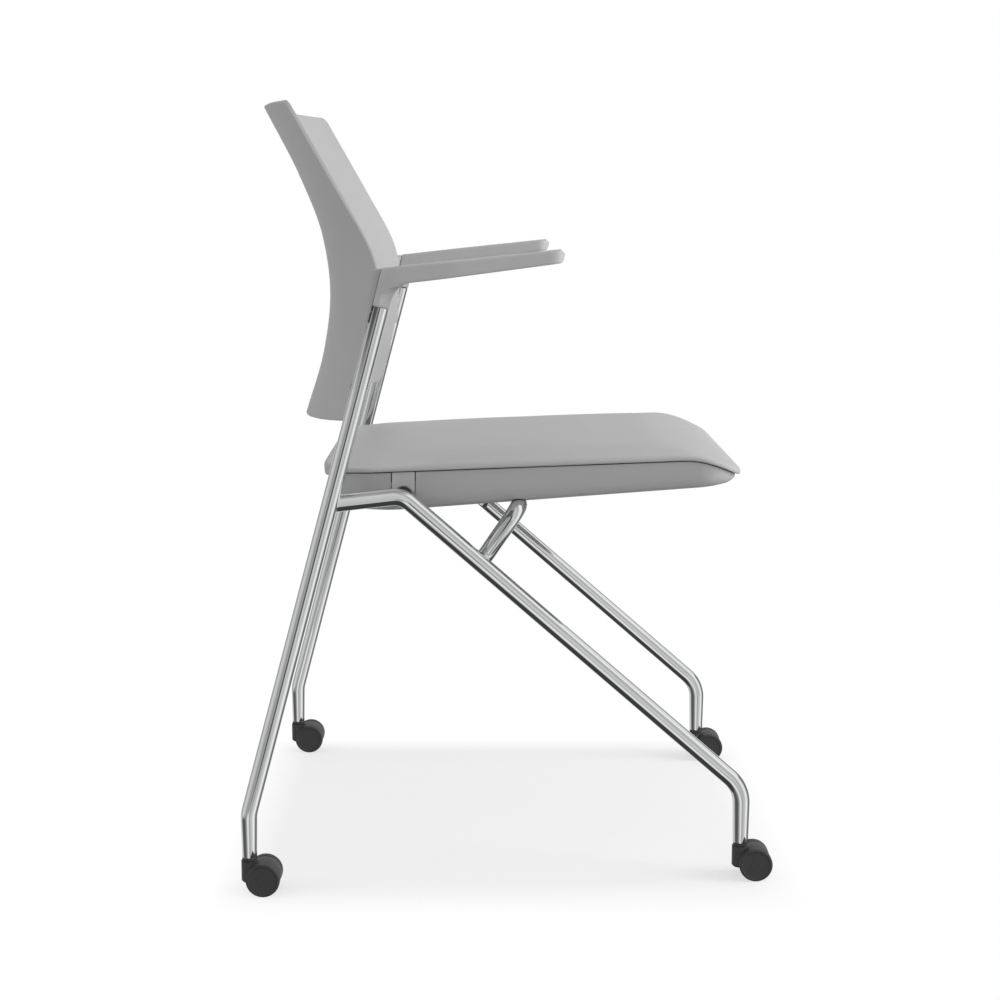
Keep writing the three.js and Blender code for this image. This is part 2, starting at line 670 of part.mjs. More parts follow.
// The arm seen from the side: a neck on the leg, a square rear corner and a tapering pad
function armSideShape(sign) {
  const top = rearTop(sign);
  const heading = rearHeading(sign);
  const along = v2(heading.x, heading.z).normalize();
  const across = v2(along.y, -along.x);
  const from = (forward, up) => v2(
    top.x + across.x * forward + along.x * up,
    top.z + across.y * forward + along.y * up,
  );
  const corner = from(-REAR_TUBE_RADIUS, ARM_HEAD);
  const rise = v2(Math.cos(ARM_RISE), Math.sin(ARM_RISE));
  const onTop = (distance) => corner.clone().addScaledVector(rise, distance);
  const under = (distance, thickness) => onTop(distance).add(v2(0, -thickness));
  const root = 2 * REAR_TUBE_RADIUS + ARM_FILLET;
  const neck = from(REAR_TUBE_RADIUS, ARM_NECK_HEIGHT);
  const shape = new THREE.Shape();
  const start = from(-REAR_TUBE_RADIUS, -OVERRUN);
  shape.moveTo(start.x, start.y);
  const foot = from(REAR_TUBE_RADIUS, -OVERRUN);
  shape.lineTo(foot.x, foot.y);
  shape.lineTo(neck.x, neck.y);
  const rootUnder = under(root, ARM_ROOT_THICKNESS);
  const bend = under(root - ARM_FILLET, ARM_ROOT_THICKNESS);
  shape.quadraticCurveTo(bend.x, bend.y, rootUnder.x, rootUnder.y);
  const tipUnder = under(ARM_LENGTH - ARM_TIP_NOSE, ARM_TIP_THICKNESS);
  const tipFront = under(ARM_LENGTH + ARM_TIP_NOSE, ARM_TIP_THICKNESS / 3);
  shape.lineTo(tipUnder.x, tipUnder.y);
  const tipEdge = under(ARM_LENGTH + ARM_TIP_NOSE / 2, ARM_TIP_THICKNESS);
  shape.quadraticCurveTo(tipEdge.x, tipUnder.y, tipFront.x, tipFront.y);
  const tipTop = onTop(ARM_LENGTH);
  shape.lineTo(tipTop.x, tipTop.y);
  shape.lineTo(corner.x, corner.y);
  shape.closePath();
  return shape;
}

// The arm seen from above: straight inside, flared outside, with round front corners
function armPlanShape(sign) {
  const inner = BACK_HALF + ARM_INNER_CLEARANCE;
  const outer = inner + ARM_WIDTH;
  const rear = REAR_TOP_X - ARM_HEAD;
  const front = rearTop(sign).x + ARM_LENGTH + ARM_TIP_NOSE;
  const flareFrom = REAR_TOP_X + REAR_TUBE_RADIUS;
  const shape = new THREE.Shape();
  shape.moveTo(rear, sign * inner);
  shape.lineTo(front - ARM_CORNER, sign * inner);
  shape.quadraticCurveTo(front, sign * inner, front, sign * (inner + ARM_CORNER));
  shape.lineTo(front, sign * (outer - ARM_CORNER));
  shape.quadraticCurveTo(front, sign * outer, front - ARM_CORNER, sign * outer);
  shape.lineTo(REAR_TOP_X + ARM_FLARE + ARM_CORNER, sign * outer);
  shape.bezierCurveTo(
    REAR_TOP_X + ARM_FLARE - ARM_CORNER, sign * outer,
    flareFrom + ARM_CORNER, sign * (inner + ARM_ROOT_WIDTH),
    flareFrom, sign * (inner + ARM_ROOT_WIDTH),
  );
  shape.lineTo(rear, sign * (inner + ARM_ROOT_WIDTH));
  shape.closePath();
  return shape;
}

// The arm seen from the front: as narrow as the leg at the neck, then spreading under the pad
function armFrontShape(sign) {
  const centre = REAR_TOP_SPREAD / 2;
  const neck = REAR_TOP_Z + ARM_NECK_HEIGHT;
  const pad = neck + ARM_FILLET;
  const wide = centre + ARM_WIDTH;
  const narrow = centre + REAR_TUBE_RADIUS;
  const inner = centre - REAR_TUBE_RADIUS;
  const top = REAR_TOP_Z + ARM_LENGTH;
  const bottom = REAR_TOP_Z - REAR_TUBE_RADIUS;
  const shape = new THREE.Shape();
  shape.moveTo(sign * inner, bottom);
  shape.lineTo(sign * narrow, bottom);
  shape.lineTo(sign * narrow, neck);
  shape.quadraticCurveTo(sign * narrow, pad, sign * wide, pad);
  shape.lineTo(sign * wide, top);
  shape.lineTo(sign * (BACK_HALF + ARM_INNER_CLEARANCE), top);
  shape.lineTo(sign * (BACK_HALF + ARM_INNER_CLEARANCE), pad);
  shape.lineTo(sign * inner, neck);
  shape.closePath();
  return shape;
}

function arm(sign) {
  const centre = sign * REAR_TOP_SPREAD / 2;
  const side = sideSlab(armSideShape(sign), centre - ARM_WIDTH - OVERRUN, centre + ARM_WIDTH + OVERRUN);
  const plan = planSlab(armPlanShape(sign), REAR_TOP_Z - ARM_HEAD, REAR_TOP_Z + ARM_LENGTH);
  const front = frontSlab(armFrontShape(sign), 0, REAR_TOP_X + 2 * ARM_LENGTH);
  const heading = rearHeading(sign);
  const plugTop = rearTop(sign).addScaledVector(heading, ARM_NECK_HEIGHT / 2);
  const plugEnd = rearTop(sign).addScaledVector(heading, -ARM_SPIGOT_LENGTH);
  const spigot = rod(plugEnd, plugTop, REAR_BORE - GAP);
  const legEnd = rod(plugEnd, rearTop(sign).addScaledVector(heading, GAP), ARM_ROOT_WIDTH);
  const pad = side.intersect(plan).intersect(front).subtract(legEnd);
  return pad.add(spigot).subtract(backScrewHole(sign));
}

// Seat

const SIDE_STEPS = 7;
const END_STEPS = 4;

// The seat's plan outline, moved in by an inset that may differ at the rear and the front
function seatOutline(inset, rearInset = inset, frontInset = inset) {
  const rear = PAN_REAR_X + rearInset;
  const front = PAN_FRONT_X - frontInset;
  const half = PAN_HALF - inset;
  const radius = Math.max(PAN_CORNER - inset, PAN_CORNER / 3);
  const rearRadius = Math.max(PAN_REAR_CORNER - inset, PAN_REAR_CORNER / 3);
  const points = [];
  const line = (a, b, steps) => {
    for (let i = 0; i < steps; i += 1) points.push(a.clone().lerp(b, i / steps));
  };
  const corner = (cx, cy, size, from) => {
    for (let i = 0; i < CORNER_STEPS; i += 1) {
      const angle = from + QUARTER_TURN * i / CORNER_STEPS;
      points.push(v2(cx + size * Math.cos(angle), cy + size * Math.sin(angle)));
    }
  };
  line(v2(rear + rearRadius, -half), v2(front - radius, -half), SIDE_STEPS);
  corner(front - radius, -half + radius, radius, -QUARTER_TURN);
  line(v2(front, -half + radius), v2(front, half - radius), END_STEPS);
  corner(front - radius, half - radius, radius, 0);
  line(v2(front - radius, half), v2(rear + rearRadius, half), SIDE_STEPS);
  corner(rear + rearRadius, half - rearRadius, rearRadius, QUARTER_TURN);
  line(v2(rear, half - rearRadius), v2(rear, -half + rearRadius), END_STEPS);
  corner(rear + rearRadius, -half + rearRadius, rearRadius, Math.PI);
  return points;
}

// A solid skinned over rings of points, each ring the same length, closed by a middle point at both ends
function ringSolid(rings) {
  const count = rings[0].length;
  const vertices = rings.flat();
  const triangles = [];
  for (let r = 0; r < rings.length - 1; r += 1) {
    for (let i = 0; i < count; i += 1) {
      const next = (i + 1) % count;
      const [a, b] = [r * count + i, r * count + next];
      triangles.push(a, b, b + count, a, b + count, a + count);
    }
  }
  const middle = (ring) => ring.reduce((sum, p) => sum.add(p), v3(0, 0, 0)).divideScalar(count);
  const first = vertices.length;
  vertices.push(middle(rings[0]), middle(rings.at(-1)));
  const lastRing = (rings.length - 1) * count;
  for (let i = 0; i < count; i += 1) {
    const next = (i + 1) % count;
    triangles.push(first, next, i);
    triangles.push(first + 1, lastRing + i, lastRing + next);
  }
  return solidOf(indexed(vertices, triangles));
}

// The pan's wall from seam to underside: insets as shares of the full inset, heights as shares of the depth
const PAN_TUCK = 13;
const PAN_REAR_TUCK = 42;
const PAN_FRONT_TUCK = 18;
const panWallShares = [[0, 0], [0.02, 0.2], [0.06, 0.42], [0.14, 0.62], [0.3, 0.8], [0.55, 0.93], [1, 1]];

function panRings(offset) {
  const rings = panWallShares.map(([insetShare, depthShare]) => {
    const insets = [PAN_TUCK, PAN_REAR_TUCK, PAN_FRONT_TUCK].map((tuck) => offset + tuck * insetShare);
    return seatOutline(...insets).map(({ x, y }) => {
      const low = bellyAt(x) + offset;
      return v3(x, y, seamAt(x) + (low - seamAt(x)) * depthShare);
    });
  });
  return rings.reverse();
}

const underBoard = (x) => seamAt(x) - BOARD_DROP - BOARD_THICKNESS - GAP;

// Everything above a height that follows the seat's length
function above(heightAt, top) {
  const points = [];
  for (let i = 0; i <= SIDE_STEPS * 2; i += 1) {
    const x = THREE.MathUtils.lerp(PAN_REAR_X - OVERRUN, PAN_FRONT_X + OVERRUN, i / (SIDE_STEPS * 2));
    points.push(v2(x, heightAt(x)));
  }
  points.push(v2(PAN_FRONT_X + OVERRUN, top), v2(PAN_REAR_X - OVERRUN, top));
  return sideSlab(new THREE.Shape(points), -PAN_HALF - OVERRUN, PAN_HALF + OVERRUN);
}

// Ribs under the seat board: three along the seat and three across it
function panRibs() {
  const half = RIB_THICKNESS / 2;
  const low = PIVOT_Z - PAN_BELLY_DROP - PAN_WALL;
  const high = PIVOT_Z + SEAM_RISE * 2;
  const length = PAN_FRONT_X - PAN_REAR_X;
  const ribs = [];
  for (const share of ribShares) {
    const y = PAN_HALF * (2 * share - 1);
    ribs.push(box(v3(PAN_REAR_X, y - half, low), v3(PAN_FRONT_X, y + half, high)));
    const x = PAN_REAR_X + length * share;
    ribs.push(box(v3(x - half, -PAN_HALF, low), v3(x + half, PAN_HALF, high)));
  }
  return joined(ribs);
}
const ribShares = [0.25, 0.5, 0.75];

const pivot = (sign, y) => v3(PIVOT_X, sign * y, PIVOT_Z);
const BLOCK_OUTER = PAN_HALF - PAN_WALL - GAP;
const BLOCK_INNER = BLOCK_OUTER - BLOCK_DEPTH;
const BUSH_RADIUS = STUD_RADIUS + GAP + BUSH_WALL;
const BUSH_FACE = BLOCK_OUTER + GAP + BUSH_FLANGE;

// The bearing block inside the pan's wall at a pivot
function pivotBlock(sign) {
  const half = BLOCK_WIDTH / 2;
  const low = PIVOT_Z - PAN_BELLY_DROP - PAN_WALL;
  const from = v3(PIVOT_X - half, sign * BLOCK_INNER, low);
  const to = v3(PIVOT_X + half, sign * BLOCK_OUTER, PIVOT_Z + BLOCK_RISE);
  return box(v3(from.x, Math.min(from.y, to.y), from.z), v3(to.x, Math.max(from.y, to.y), to.z));
}

// The notch in the pan's wall that the pivot cover fills
function pivotNotch(sign) {
  const half = COVER_WIDTH / 2 + GAP;
  const inner = sign * BLOCK_OUTER;
  const outer = sign * (PAN_HALF + OVERRUN);
  const low = Math.min(inner, outer);
  const high = Math.max(inner, outer);
  return box(v3(PIVOT_X - half, low, PIVOT_Z - ARCH_RADIUS), v3(PIVOT_X + half, high, PIVOT_Z + SEAM_RISE * 2));
}

// The room around a rest on the crossbar, made larger all round by a margin
function restPocket(sign, margin) {
  const reach = GAP + margin;
  const from = v3(crossbarX, restFrom(sign) - reach, crossbarZ);
  return rod(from, v3(crossbarX, restTo(sign) + reach, crossbarZ), POCKET_RADIUS + margin);
}
const restFrom = (sign) => (sign * REST_SPREAD - REST_LENGTH) / 2;
const restTo = (sign) => (sign * REST_SPREAD + REST_LENGTH) / 2;

function seatPan() {
  const outer = ringSolid(panRings(0));
  const cavity = ringSolid(panRings(PAN_WALL)).add(above((x) => seamAt(x) - OVERRUN, PIVOT_Z + SEAM_RISE * 2)
    .intersect(planSlab(outlineShape(PAN_WALL), PIVOT_Z - SEAM_RISE, PIVOT_Z + SEAM_RISE * 2)));
  const tooHigh = above(underBoard, PIVOT_Z + SEAM_RISE * 2);
  const channel = solidOf(tubeGeometry(crossbarRoute(), GROOVE_RADIUS + PAN_WALL));
  const seats = SIDES.map(({ sign }) => restPocket(sign, PAN_WALL));
  const blocks = SIDES.map(({ sign }) => pivotBlock(sign));
  const filling = joined([panRibs(), channel, ...seats, ...blocks]).intersect(outer).subtract(tooHigh);
  const holes = SIDES.map(({ sign }) => rod(
    pivot(sign, BLOCK_INNER - OVERRUN),
    pivot(sign, PAN_HALF + OVERRUN),
    BUSH_RADIUS + GAP,
  ));
  const notches = SIDES.map(({ sign }) => pivotNotch(sign));
  const groove = solidOf(tubeGeometry(crossbarRoute(), GROOVE_RADIUS));
  const pockets = SIDES.map(({ sign }) => restPocket(sign, 0));
  return cutBy(outer.subtract(cavity).add(filling), [...holes, ...notches, groove, ...pockets]);
}

const outlineShape = (inset) => new THREE.Shape(seatOutline(inset));

// The board: plywood bent to the seam line, inside the pan's wall
function seatBoard() {
  const top = above((x) => seamAt(x) - BOARD_DROP, PIVOT_Z + SEAM_RISE * 3);
  const bottom = above((x) => seamAt(x) - BOARD_DROP - BOARD_THICKNESS, PIVOT_Z + SEAM_RISE * 2);
  const blank = planSlab(outlineShape(PAN_WALL + BOARD_INSET), PIVOT_Z - SEAM_RISE, PIVOT_Z + SEAM_RISE * 2);
  return blank.intersect(bottom).subtract(top);
}

// The cushion from its underside over the side to the crown: inset, then height above the seam. Its upper
// rings rise by a share of the seam's fall at the rear and the front, which makes those edges full and round.
const CUSHION_LIFT = 0.6;
const CUSHION_EDGE = 0.8;
const CUSHION_WIDEST = 2.8;
const CUSHION_SHOULDER = 6.7;
const noRiseShares = [0, 0];
const lowRiseShares = [0.5, 0.06];
const middleRiseShares = [1.1, 0.12];
const highRiseShares = [1.3, 0.14];
const cushionUnderShares = [0.32, 0.2, 0.1, 0.05];
const cushionTopShares = [[0.02, 0.05], [0.05, 0.13], [0.13, 0.34], [0.3, 0.62], [0.55, 0.88], [0.85, 1]];

function cushionRing(inset, height, [rearShare, frontShare] = noRiseShares) {
  const overhangs = [CUSHION_OVERHANG, CUSHION_REAR_OVERHANG, CUSHION_FRONT_OVERHANG];
  const outline = seatOutline(...overhangs.map((overhang) => inset - overhang));
  const rise = (x) => height + rearShare * rearFallAt(x) + frontShare * frontFallAt(x);
  return outline.map(({ x, y }) => v3(x, y, seamAt(x) + rise(x)));
}

function seatCushion() {
  const depth = PAN_HALF;
  const under = cushionUnderShares.map((share) => cushionRing(depth * share, CUSHION_LIFT));
  const side = [
    cushionRing(CUSHION_WIDEST, CUSHION_LIFT),
    cushionRing(CUSHION_EDGE / 2, CUSHION_WIDEST / 2, lowRiseShares),
    cushionRing(0, CUSHION_WIDEST, middleRiseShares),
    cushionRing(CUSHION_EDGE, CUSHION_SHOULDER - CUSHION_WIDEST / 2, highRiseShares),
  ];
  const top = cushionTopShares.map(([insetShare, riseShare]) => {
    const height = CUSHION_SHOULDER + (CUSHION_CROWN - CUSHION_SHOULDER) * riseShare;
    return cushionRing(depth * insetShare, height, highRiseShares);
  });
  return ringSolid([...under, ...side, ...top]);
}

// Seat pivots

function pivotStud(sign) {
  const outer = FRONT_SPREAD / 2 - FRONT_TUBE_RADIUS - GAP;
  const inner = BLOCK_INNER - CLIP_WIDTH - 2 * GAP - STUD_END;
  const length = outer - inner;
  const collar = outer - BUSH_FACE - RUNNING_GAP;
  const profile = [
    [0, 0],
    [STUD_COLLAR_RADIUS, 0],
    [STUD_COLLAR_RADIUS, collar],
    [STUD_RADIUS, collar],
    [STUD_RADIUS, length],
    [0, length],
  ];
  return turned(profile, pivot(sign, outer), v3(0, -sign, 0));
}

function pivotBush(sign) {
  const bore = STUD_RADIUS + GAP;
  const profile = [
    [bore, 0],
    [BUSH_FLANGE_RADIUS, 0],
    [BUSH_FLANGE_RADIUS, BUSH_FLANGE],
    [BUSH_RADIUS, BUSH_FLANGE],
    [BUSH_RADIUS, BLOCK_DEPTH + BUSH_FLANGE],
    [bore, BLOCK_DEPTH + BUSH_FLANGE],
    [bore, 0],
  ];
  return turned(profile, pivot(sign, BUSH_FACE), v3(0, -sign, 0));
}

function pivotClip(sign) {
  const bore = STUD_RADIUS + GAP;
  const profile = [[bore, 0], [CLIP_RADIUS, 0], [CLIP_RADIUS, CLIP_WIDTH], [bore, CLIP_WIDTH], [bore, 0]];
  return turned(profile, pivot(sign, BLOCK_INNER - 2 * GAP), v3(0, -sign, 0));
}

// The cover over a pivot, with an arch that clears the stud's collar
function pivotCover(sign) {
  const half = COVER_WIDTH / 2;
  const shape = new THREE.Shape();
  shape.moveTo(PIVOT_X - half, PIVOT_Z + COVER_FOOT_RISE);
  shape.lineTo(PIVOT_X - half, seamAt(PIVOT_X - half) - GAP);
  shape.lineTo(PIVOT_X + half, seamAt(PIVOT_X + half) - GAP);
  shape.lineTo(PIVOT_X + half, PIVOT_Z + COVER_FOOT_RISE);
  shape.closePath();
  const plate = sideSlab(shape, sign * (BLOCK_OUTER + GAP), sign * (PAN_HALF + OVERRUN));
  const arch = rod(pivot(sign, BLOCK_INNER), pivot(sign, PAN_HALF + 2 * OVERRUN), ARCH_RADIUS);
  return plate.subtract(arch).intersect(ringSolid(panRings(0)));
}

// Rests: half sleeves clipped on the crossbar, on which the pan comes down
function crossbarRest(sign) {
  const inner = CROSSBAR_RADIUS + GAP;
  const outer = inner + REST_THICKNESS;
  const sleeve = rod(v3(crossbarX, restFrom(sign), crossbarZ), v3(crossbarX, restTo(sign), crossbarZ), outer);
  const bar = v3(crossbarX, restFrom(sign) - OVERRUN, crossbarZ);
  const hole = rod(bar, v3(crossbarX, restTo(sign) + OVERRUN, crossbarZ), inner);
  const low = box(
    v3(crossbarX - 2 * outer, restFrom(sign) - OVERRUN, crossbarZ - 2 * outer),
    v3(crossbarX + 2 * outer, restTo(sign) + OVERRUN, crossbarZ),
  );
  return cutBy(sleeve, [hole, low]);
}

// Assembly

const chair = new THREE.Group();

function add(parent, name, solid, material) {
  const mesh = new THREE.Mesh(geometryOf(solid), material);
  mesh.name = name;
  parent.add(mesh);
}

function addCaster(corner, foot, bore) {
  const group = new THREE.Group();
  add(group, `caster_insert_${corner}`, casterInsert(foot, bore), DARK_PLASTIC);
  add(group, `caster_stem_${corner}`, casterStem(foot), ZINC);
  add(group, `caster_hood_${corner}`, casterHood(foot), DARK_PLASTIC);
  add(group, `caster_axle_${corner}`, casterAxle(foot), ZINC);
  for (const { name, sign } of SIDES) {
    add(group, `caster_wheel_${corner}_${name}`, casterWheel(foot, sign), DARK_PLASTIC);
  }
  chair.add(group);
}

for (const { name, sign } of SIDES) {
  add(chair, `rear_leg_${name}`, rearLeg(sign), CHROME);
  add(chair, `front_leg_${name}`, frontLeg(sign), CHROME);
  add(chair, `arm_${name}`, arm(sign), GREY_PLASTIC);
  add(chair, `back_screw_${name}`, backScrew(sign), ZINC);
  add(chair, `pivot_stud_${name}`, pivotStud(sign), ZINC);
  add(chair, `pivot_clip_${name}`, pivotClip(sign), ZINC);
  add(chair, `crossbar_rest_${name}`, crossbarRest(sign), RUBBER);
  addCaster(`rear_${name}`, v3(0, sign * REAR_SPREAD / 2, CASTER_HEIGHT), REAR_BORE);
  addCaster(`front_${name}`, v3(WHEELBASE, sign * FRONT_SPREAD / 2, CASTER_HEIGHT), FRONT_BORE);
}
add(chair, 'crossbar', crossbar(), CHROME);
add(chair, 'back_shell', backShell(), GREY_PLASTIC);

const seat = new THREE.Group();
add(seat, 'seat_pan', seatPan(), GREY_PLASTIC);
add(seat, 'seat_board', seatBoard(), PLYWOOD);
add(seat, 'seat_cushion', seatCushion(), UPHOLSTERY);
for (const { name, sign } of SIDES) {
  add(seat, `pivot_bush_${name}`, pivotBush(sign), DARK_PLASTIC);
  add(seat, `pivot_cover_${name}`, pivotCover(sign), GREY_PLASTIC);
}
chair.add(seat);

// Centre the chair over its own footprint
const footprint = new THREE.Box3().setFromObject(chair);
chair.position.x = -(footprint.min.x + footprint.max.x) / 2;

export default chair;
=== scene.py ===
import bpy
import bmesh
import math
from bisect import bisect_right
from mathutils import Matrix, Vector

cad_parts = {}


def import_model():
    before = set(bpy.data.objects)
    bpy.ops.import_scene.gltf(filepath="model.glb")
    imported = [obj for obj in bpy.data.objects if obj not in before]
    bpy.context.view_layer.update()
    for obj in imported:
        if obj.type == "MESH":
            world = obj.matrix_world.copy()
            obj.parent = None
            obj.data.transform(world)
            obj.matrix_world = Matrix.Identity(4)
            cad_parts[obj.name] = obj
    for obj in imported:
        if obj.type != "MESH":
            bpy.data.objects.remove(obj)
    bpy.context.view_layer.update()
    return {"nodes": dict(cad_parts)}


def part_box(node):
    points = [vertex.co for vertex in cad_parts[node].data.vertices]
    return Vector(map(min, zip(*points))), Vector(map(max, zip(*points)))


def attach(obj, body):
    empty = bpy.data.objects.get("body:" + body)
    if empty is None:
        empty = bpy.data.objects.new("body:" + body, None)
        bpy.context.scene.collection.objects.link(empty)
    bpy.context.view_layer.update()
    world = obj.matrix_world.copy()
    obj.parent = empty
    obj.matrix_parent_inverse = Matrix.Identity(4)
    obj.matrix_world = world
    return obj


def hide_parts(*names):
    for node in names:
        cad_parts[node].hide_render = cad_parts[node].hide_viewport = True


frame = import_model()
NODES = frame["nodes"]
SIDES = (("right", -1), ("left", 1))
MM = 0.001

# The part's sizes in millimetres, with x = 0 on the rear casters' swivel axes
REAR_SPREAD = 568.0
REAR_TOP_SPREAD = 508.0
FRONT_SPREAD = 474.4
WHEELBASE = 548.5
CASTER_HEIGHT = 40.3
REAR_BEND_Z = 89.0
FRONT_BEND_Z = 104.0
REAR_TOP_X = 148.7
REAR_TOP_Z = 643.0
CREST = (169.0, 436.0)
WELD_Z = 430.0
WELD_INBOARD = 8.0
REAR_TUBE = 9.0
REAR_BORE = 7.5
FRONT_TUBE = 9.5
FRONT_BORE = 7.5
FOOT_TAPER = 0.9
CROSSBAR = (298.3, 421.03)
CROSSBAR_BORE = 8.0
REAR_BEND_RADIUS = 45.0
CREST_BEND_RADIUS = 28.0
FRONT_BEND_RADIUS = 40.0
CROSSBAR_BEND_RADIUS = 17.0
STRUT_Y = 219.7
STRUT_ANGLE = math.radians(55.5)
GAP = 0.3
BACK_HALF = 242.5
BACK_BOTTOM = 507.0
BACK_TOP = 862.5
BACK_THICKNESS = 5.0
PAN_HALF = 221.0
PAN_REAR = 83.0
PAN_FRONT = 542.5
PIVOT = (170.0, 433.7)

# Where those axes are in the frame, in metres
ORIGIN_X = sum(corner.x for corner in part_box("caster_stem_rear_right")) / 2


# Curves

def monotone(points):
    """A smooth curve through points whose first values rise, without overshoot"""
    xs, ys = zip(*points)
    slopes = [(ys[i + 1] - ys[i]) / (xs[i + 1] - xs[i]) for i in range(len(xs) - 1)]
    inner = [0.0 if a * b <= 0 else 2 * a * b / (a + b) for a, b in zip(slopes, slopes[1:])]
    tangents = [slopes[0], *inner, slopes[-1]]

    def value(x):
        x = min(max(x, xs[0]), xs[-1])
        i = min(bisect_right(xs, x) - 1, len(slopes) - 1)
        step = xs[i + 1] - xs[i]
        t = (x - xs[i]) / step
        start = (1 + 2 * t) * (1 - t) ** 2 * ys[i] + t * (1 - t) ** 2 * step * tangents[i]
        end = t * t * (3 - 2 * t) * ys[i + 1] - t * t * (1 - t) * step * tangents[i + 1]
        return start + end

    return value


def smoothstep(x, low, high):
    t = min(max((x - low) / (high - low), 0.0), 1.0)
    return t * t * (3 - 2 * t)


def quadratic(a, control, b, t):
    return a * (1 - t) ** 2 + control * (2 * t * (1 - t)) + b * t ** 2


def eased(profile, radius, closed=False, steps=3):
    """A profile with its corners rounded, each by at most half of the runs beside it"""
    points = [Vector(p) for p in profile]
    out = []
    for i, point in enumerate(points):
        if not closed and i in (0, len(points) - 1):
            out.append(point)
            continue
        before = points[i - 1] - point
        after = points[(i + 1) % len(points)] - point
        start = point + before * min(radius / before.length, 0.5)
        end = point + after * min(radius / after.length, 0.5)
        out += [quadratic(start, point, end, k / steps) for k in range(steps + 1)]
    return out


def bent(corners, radii, steps=16):
    """Straight runs joined by arcs: the places where the direction changes, and the headings there"""
    places, headings = [corners[0]], [(corners[1] - corners[0]).normalized()]
    for i, radius in enumerate(radii, 1):
        before = (corners[i] - corners[i - 1]).normalized()
        after = (corners[i + 1] - corners[i]).normalized()
        turn = before.angle(after)
        start = corners[i] - before * radius * math.tan(turn / 2)
        inward = (after - before * after.dot(before)).normalized()
        for step in range(steps + 1):
            angle = turn * step / steps
            place = start + before * radius * math.sin(angle) + inward * radius * (1 - math.cos(angle))
            places.append(place)
            headings.append(before * math.cos(angle) + inward * math.sin(angle))
    return [*places, corners[-1]], [*headings, (corners[-1] - corners[-2]).normalized()]


# Meshes

def metres(point):
    return Vector((ORIGIN_X + point[0] * MM, point[1] * MM, point[2] * MM))


def scene_object(name, data):
    obj = bpy.data.objects.new(name, data)
    bpy.context.scene.collection.objects.link(obj)
    return obj


def mesh_object(name, points, faces, sharp=35):
    """A mesh object from points in millimetres, its faces turned outwards"""
    mesh = bpy.data.meshes.new(name)
    mesh.from_pydata([metres(p) for p in points], [], faces)
    obj = scene_object(name, mesh)
    clean(obj, sharp)
    return obj


def clean(obj, sharp=35):
    edit = bmesh.new()
    edit.from_mesh(obj.data)
    bmesh.ops.remove_doubles(edit, verts=edit.verts, dist=1e-6)
    bmesh.ops.recalc_face_normals(edit, faces=edit.faces)
    edit.to_mesh(obj.data)
    edit.free()
    obj.data.shade_smooth()
    obj.data.set_sharp_from_angle(angle=math.radians(sharp))


def dress(obj, body, material, *nodes):
    """Gives a piece its material and its body, and hides the nodes that it stands for"""
    obj.data.materials.clear()
    obj.data.materials.append(material)
    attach(obj, body)
    if nodes:
        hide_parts(*nodes)


def skin(rings, joined=False):
    """Points and faces over rings of the same length, joined to a loop or closed at both ends"""
    count = len(rings[0])
    faces = []
    for r in range(len(rings) if joined else len(rings) - 1):
        a, b = r * count, (r + 1) % len(rings) * count
        faces += [(a + i, a + (i + 1) % count, b + (i + 1) % count, b + i) for i in range(count)]
    if not joined:
        last = (len(rings) - 1) * count
        faces += [tuple(range(count)), tuple(range(last, last + count))]
    return [p for ring in rings for p in ring], faces


def circle(place, axes, radius, count):
    side, up = axes
    turns = [2 * math.pi * i / count for i in range(count)]
    return [place + (side * math.cos(a) + up * math.sin(a)) * radius for a in turns]


def axes_across(axis):
    side = axis.orthogonal().normalized()
    return side, axis.cross(side)


def turned(profile, base, axis, count=48, closed=False):
    """A turned piece from (radius, height) points along an axis"""
    axis = Vector(axis).normalized()
    axes = axes_across(axis)
    rings = [circle(base + axis * height, axes, radius, count) for radius, height in profile]
    return skin(rings, joined=closed)


def apply_modifiers(obj):
    graph = bpy.context.evaluated_depsgraph_get()
    mesh = bpy.data.meshes.new_from_object(obj.evaluated_get(graph))
    obj.modifiers.clear()
    obj.data = mesh


def combine(obj, tools, operation):
    for tool in tools:
        modifier = obj.modifiers.new("combine", "BOOLEAN")
        modifier.operation = operation
        modifier.solver = "EXACT"
        modifier.object = tool
        apply_modifiers(obj)
        bpy.data.objects.remove(tool)


def bevel(obj, width):
    modifier = obj.modifiers.new("bevel", "BEVEL")
    modifier.width = width * MM
    modifier.segments = 2
    modifier.limit_method = "ANGLE"
    modifier.angle_limit = math.radians(28)
    apply_modifiers(obj)
    obj.data.shade_smooth()
    obj.data.set_sharp_from_angle(angle=math.radians(35))


# Rounded grids: a rectangle of points whose corners are drawn into arcs

def unit_lines(steps, half):
    """Lines from -1 to 1, spaced from both edges by the given steps, then by the last of them"""
    at, lines = 0.0, [0.0]
    while True:
        at += steps[min(len(lines), len(steps)) - 1]
        if at > half - steps[-1] / 3:
            break
        lines.append(at)
    low = [line / half - 1 for line in lines]
    return [*low, 0.0, *(-v for v in reversed(low))]


def rounded(s, t, low, high, half, low_radius, high_radius):
    """A unit place in a rectangle with round corners, and its distances from the end and the side"""
    x = low + (high - low) * (s + 1) / 2
    radius = low_radius if s < 0 else high_radius
    end = (x - low) if s < 0 else (high - x)
    side = half * (1 - abs(t))
    along, across = end, side
    if end < radius and side < radius:
        px, py = radius - end, radius - side
        reach = max(px, py)
        turn = math.pi / 4 * min(px, py) / reach if reach else 0.0
        long_way, short_way = reach * math.cos(turn), reach * math.sin(turn)
        px, py = (long_way, short_way) if px >= py else (short_way, long_way)
        along, across = radius - px, radius - py
    x = low + along if s < 0 else high - along
    return x, math.copysign(half - across, t), end, side


def grid_faces(rows, columns, offset=0):
    return [
        (offset + i * columns + j, offset + (i + 1) * columns + j, offset + (i + 1) * columns + j + 1,
         offset + i * columns + j + 1)
        for i in range(rows - 1) for j in range(columns - 1)
    ]


